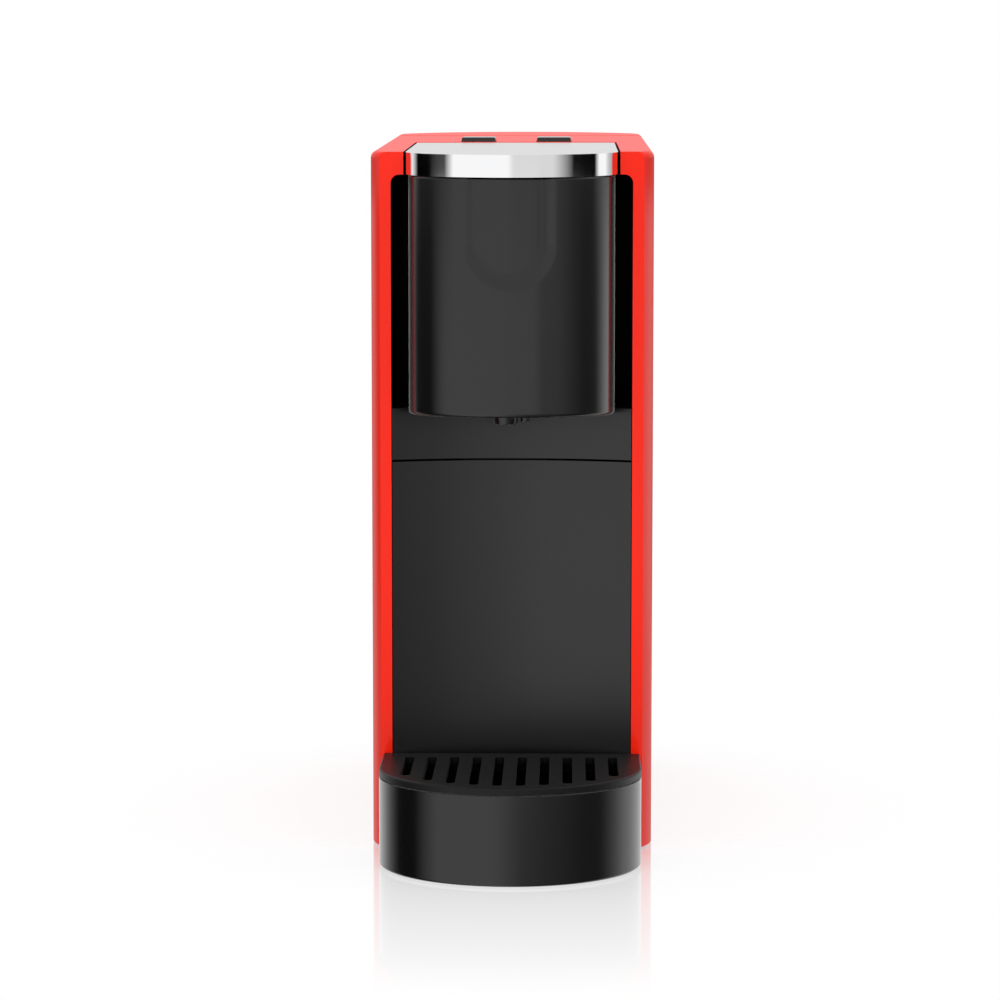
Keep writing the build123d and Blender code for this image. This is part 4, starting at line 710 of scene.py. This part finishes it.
def level_mark_tree():
    """Filling marks: a column of thin bars on both sides of the tank, every other one long."""
    tree, given, out = gn_tree("level_mark_rule", [
        ("Count", "NodeSocketInt", 9), ("Pitch", FLOAT, 22.0 * MM), ("First", FLOAT, 86.0 * MM),
        ("Side", FLOAT, 59.7 * MM), ("Depth Place", FLOAT, 121.0 * MM),
        ("Bar Length", FLOAT, 9.0 * MM), ("Bar Height", FLOAT, 0.9 * MM),
        ("Bar Proud", FLOAT, 0.22 * MM), ("Material", "NodeSocketMaterial", None)])
    g = given.outputs
    columns = []
    for side in (-1.0, 1.0):
        foot = put(tree, "ShaderNodeCombineXYZ",
                   {0: calc(tree, "MULTIPLY", g["Side"], side), 1: g["Depth Place"],
                    2: g["First"]}).outputs[0]
        step = put(tree, "ShaderNodeCombineXYZ", {0: 0.0, 1: 0.0, 2: g["Pitch"]}).outputs[0]
        columns.append(put(tree, "GeometryNodeMeshLine",
                           {"Count": g["Count"], "Start Location": foot,
                            "Offset": step}).outputs["Mesh"])
    size = put(tree, "ShaderNodeCombineXYZ",
               {0: calc(tree, "MULTIPLY", g["Bar Proud"], 2.0), 1: g["Bar Length"],
                2: g["Bar Height"]}).outputs[0]
    bar = put(tree, "GeometryNodeMeshCube", {"Size": size}).outputs["Mesh"]
    order = put(tree, "GeometryNodeInputIndex").outputs[0]
    odd = calc(tree, "MODULO", order, 2.0)
    reach = put(tree, "ShaderNodeCombineXYZ",
                {0: 1.0, 1: calc(tree, "SUBTRACT", 1.6, calc(tree, "MULTIPLY", odd, 0.8)),
                 2: 1.0}).outputs[0]
    bars = [put(tree, "GeometryNodeInstanceOnPoints",
                {"Points": column, "Instance": bar, "Scale": reach}).outputs[0]
            for column in columns]
    return closed_off(tree, given, out, joined(tree, *bars))


level_marks = grown("tank_level_marks", level_mark_tree(),
                    {"Material": FINISH["white_plastic"]})
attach(level_marks, BODY_OF["water_tank"])

# ------------------------------------------------------------------ floor
FLOOR_HALF = 6.0
FLOOR_GRAIN = 3.0                        # scale of the faint mottling
FLOOR_TONES = [(0.0, 0.998), (1.0, 1.0)]
MATT_SHARE = 0.25                        # how much of the floor takes shadow close to the machine
MATT_FULL, MATT_GONE = 0.10, 0.24        # distance from the origin where that starts and ends
MIRROR_LIFT = 1.22       # the rear of the studio is pale grey, so its image is lifted to white
MIRROR_ROUGH = 0.06
MIRROR_FRONT, MIRROR_BACK = -0.34, 0.0   # stretch of y over which the mirror share changes
MIRROR_SHARES = [(0.0, 0.0), (0.56, 0.27), (0.62, 0.3), (0.74, 0.5), (0.82, 0.3), (1.0, 0.27)]
MIRROR_FULL, MIRROR_GONE = 0.26, 0.36    # distance from the origin where the mirror fades

floor_mesh = bpy.data.meshes.new("counter")
floor_mesh.from_pydata([(x * FLOOR_HALF, y * FLOOR_HALF, 0)
                        for x, y in ((-1, -1), (1, -1), (1, 1), (-1, 1))], [], [(0, 1, 2, 3)])
counter = link(bpy.data.objects.new("counter", floor_mesh))
floor_paint, floor_tree, floor_shader = new_material("pale_counter")
floor_tree.nodes.remove(floor_shader)
floor_place = put(floor_tree, "ShaderNodeTexCoord").outputs["Object"]
floor_grain = put(floor_tree, "ShaderNodeTexNoise", {"Vector": floor_place, "Scale": FLOOR_GRAIN})
floor_tone = ramp(floor_tree, floor_grain.outputs["Fac"], FLOOR_TONES)
away = put(floor_tree, "ShaderNodeVectorMath", {0: floor_place},
           operation="LENGTH").outputs["Value"]
front_to_back = put(floor_tree, "ShaderNodeSeparateXYZ", {0: floor_place}).outputs["Y"]
white = put(floor_tree, "ShaderNodeEmission", {"Color": floor_tone, "Strength": 1.0})
matt = put(floor_tree, "ShaderNodeBsdfDiffuse", {"Color": floor_tone})
matt_share = put(floor_tree, "ShaderNodeMapRange",
                 {"Value": away, "From Min": MATT_FULL, "From Max": MATT_GONE,
                  "To Min": MATT_SHARE, "To Max": 0.0}, interpolation_type="SMOOTHSTEP")
plain_floor = put(floor_tree, "ShaderNodeMixShader",
                  {0: matt_share.outputs[0], 1: white.outputs[0], 2: matt.outputs[0]})
mirror = put(floor_tree, "ShaderNodeBsdfGlossy",
             {"Color": rgb(MIRROR_LIFT, MIRROR_LIFT, MIRROR_LIFT), "Roughness": MIRROR_ROUGH})
nearness = put(floor_tree, "ShaderNodeMapRange",
               {"Value": front_to_back, "From Min": MIRROR_FRONT, "From Max": MIRROR_BACK})
by_the_machine = put(floor_tree, "ShaderNodeMapRange",
                     {"Value": away, "From Min": MIRROR_GONE, "From Max": MIRROR_FULL},
                     interpolation_type="SMOOTHSTEP")
mirror_share = put(floor_tree, "ShaderNodeMath",
                   {0: ramp(floor_tree, nearness.outputs[0], MIRROR_SHARES),
                    1: by_the_machine.outputs[0]}, operation="MULTIPLY")
floor_mix = put(floor_tree, "ShaderNodeMixShader",
                {0: mirror_share.outputs[0], 1: plain_floor.outputs[0], 2: mirror.outputs[0]})
floor_tree.links.new(floor_mix.outputs[0],
                     floor_tree.nodes["Material Output"].inputs["Surface"])
# the camera sees the floor, but it neither shows in the machine's gloss nor lights it
counter.visible_glossy = False
counter.visible_diffuse = False
dress(counter, floor_paint)

# ------------------------------------------------------------------ studio
# Soft boxes in three rows round the machine, seen in gloss only. Azimuth is 0 in front of the
# machine and negative to its left. Each box spans from its first azimuth to its second, fades
# over so many degrees before and after, and has a brightness. The rear wall passes 180.
UPPER_ROW = {"left_strip": (-124, -122, 14, 14, 0.9), "front_box": (-52, -3, 10, 10, 1.1),
             "front_fill": (2, 35, 10, 21, 0.8), "right_strip": (94, 107, 8, 22, 1.1),
             "left_side": (-68, -62, 16, 6, 0.05), "rear_wall": (130, 220, 15, 15, 0.42)}
MIDDLE_ROW = {"left_strip": (-150, -136, 30, 18, 1.05), "front_box": (-64, 20, 20, 6, 1.15),
              "front_fill": (25, 40, 20, 36, 0.68), "right_strip": (112, 137, 20, 32, 1.65),
              "right_side": (70, 90, 20, 20, 0.1), "rear_wall": (160, 200, 15, 15, 0.6)}
LOWER_ROW = {"left_strip": (-145, -136, 30, 30, 1.1), "front_box": (-58, -12, 24, 36, 1.2),
             "front_fill": (10, 15, 20, 60, 0.42), "right_strip": (110, 135, 34, 60, 1.33),
             "right_side": (60, 80, 20, 20, 0.11), "rear_wall": (160, 200, 30, 30, 0.9)}
LOWER_TO_MIDDLE = (-0.16, -0.11)         # heights of the direction where one row gives way
MIDDLE_TO_UPPER = (0.002, 0.016)
UPPER_TO_CEILING = (0.03, 0.06)
CEILING_TO_TOP = (0.5, 0.7)
CEILING_TONES = [(0.4, 0.82), (0.6, 1.0)]    # from the rear of the studio to its front
TOP_TONE = 0.95
# soft fill: strongest from the front, weakest from the sides, and a light panel overhead
FILL_TONES = [(0.0, 0.55), (0.28, 0.12), (0.5, 0.05), (0.75, 0.10), (1.0, 0.98)]
FILL_LIFT = 1.9          # brightness of the fill where its ramp is 1
OVERHEAD = 1.35
FILL_TO_OVERHEAD = (0.2, 0.9)

world = bpy.data.worlds.new("studio")
bpy.context.scene.world = world
world.cycles.sampling_method = "NONE"    # the boxes show in gloss only, so light isn't aimed
world.use_nodes = True
sky = world.node_tree
sky.nodes.clear()
toward = put(sky, "ShaderNodeTexCoord").outputs["Generated"]
axes = put(sky, "ShaderNodeSeparateXYZ", {0: toward})
frontward = put(sky, "ShaderNodeMath", {0: axes.outputs["Y"], 1: -1.0},
                operation="MULTIPLY").outputs[0]
turned = put(sky, "ShaderNodeMath", {0: axes.outputs["X"], 1: frontward},
             operation="ARCTAN2").outputs[0]
around = put(sky, "ShaderNodeMapRange", {"Value": turned, "From Min": -math.pi,
                                         "From Max": math.pi}).outputs[0]


def brightness(row, azimuth):
    """The brightest of a row's boxes at an azimuth."""
    best = 0.0
    for start, stop, fade_in, fade_out, level in row.values():
        for turn in (azimuth, azimuth + 360.0):
            short = max((start - turn) / fade_in, (turn - stop) / fade_out, 0.0)
            best = max(best, level * (1.0 - short))
    return best


def row_of_boxes(row):
    """A ramp round the machine with a stop wherever one of the row's boxes starts or ends."""
    corners = {-180.0, 180.0}
    for start, stop, fade_in, fade_out, level in row.values():
        for corner in (start - fade_in, start, stop, stop + fade_out):
            corners.add(corner - 360.0 if corner > 180.0 else float(corner))
    return ramp(sky, around, [((corner + 180.0) / 360.0, brightness(row, corner))
                              for corner in sorted(corners)])


def by_height(first, second, start, stop):
    """Goes from one colour to another with the height of the direction."""
    share = put(sky, "ShaderNodeMapRange", {"Value": axes.outputs["Z"], "From Min": start,
                                            "From Max": stop},
                interpolation_type="SMOOTHSTEP").outputs[0]
    return put(sky, "ShaderNodeMix", {"Factor": share, 6: first, 7: second},
               data_type="RGBA").outputs[2]


rear_to_front = put(sky, "ShaderNodeMapRange", {"Value": frontward, "From Min": -1.0,
                                                "From Max": 1.0}).outputs[0]
lower_rows = by_height(row_of_boxes(LOWER_ROW), row_of_boxes(MIDDLE_ROW), *LOWER_TO_MIDDLE)
all_rows = by_height(lower_rows, row_of_boxes(UPPER_ROW), *MIDDLE_TO_UPPER)
with_ceiling = by_height(all_rows, ramp(sky, rear_to_front, CEILING_TONES), *UPPER_TO_CEILING)
seen_in_gloss = by_height(with_ceiling, rgb(TOP_TONE, TOP_TONE, TOP_TONE), *CEILING_TO_TOP)
fill = put(sky, "ShaderNodeVectorMath",
           {0: ramp(sky, rear_to_front, FILL_TONES), 1: (FILL_LIFT, FILL_LIFT, FILL_LIFT)},
           operation="MULTIPLY").outputs[0]
soft_fill = by_height(fill, rgb(OVERHEAD, OVERHEAD, OVERHEAD), *FILL_TO_OVERHEAD)
path = put(sky, "ShaderNodeLightPath")
not_camera = put(sky, "ShaderNodeMix",
                 {"Factor": path.outputs["Is Glossy Ray"], 6: soft_fill, 7: seen_in_gloss},
                 data_type="RGBA").outputs[2]
any_ray = put(sky, "ShaderNodeMix",
              {"Factor": path.outputs["Is Camera Ray"], 6: not_camera, 7: rgb(1, 1, 1)},
              data_type="RGBA").outputs[2]
backdrop = put(sky, "ShaderNodeBackground", {"Color": any_ray, "Strength": 1.0})
sky_out = put(sky, "ShaderNodeOutputWorld")
sky.links.new(backdrop.outputs[0], sky_out.inputs["Surface"])

# ------------------------------------------------------------------ camera
FOCAL_LENGTH, SENSOR_WIDTH = 106.37, 36.0
CAMERA_PLACE = (0.02273, -1.32858, 0.2662)
LOOKS_DOWN, TURNED_LEFT = 5.351, 1.274   # degrees

lens = bpy.data.cameras.new("camera")
lens.lens = FOCAL_LENGTH
lens.sensor_width = SENSOR_WIDTH
camera = link(bpy.data.objects.new("camera", lens))
camera.location = CAMERA_PLACE
camera.rotation_euler = (math.radians(90 - LOOKS_DOWN), 0.0, math.radians(TURNED_LEFT))
bpy.context.scene.camera = camera
bpy.context.scene.view_settings.view_transform = "Standard"
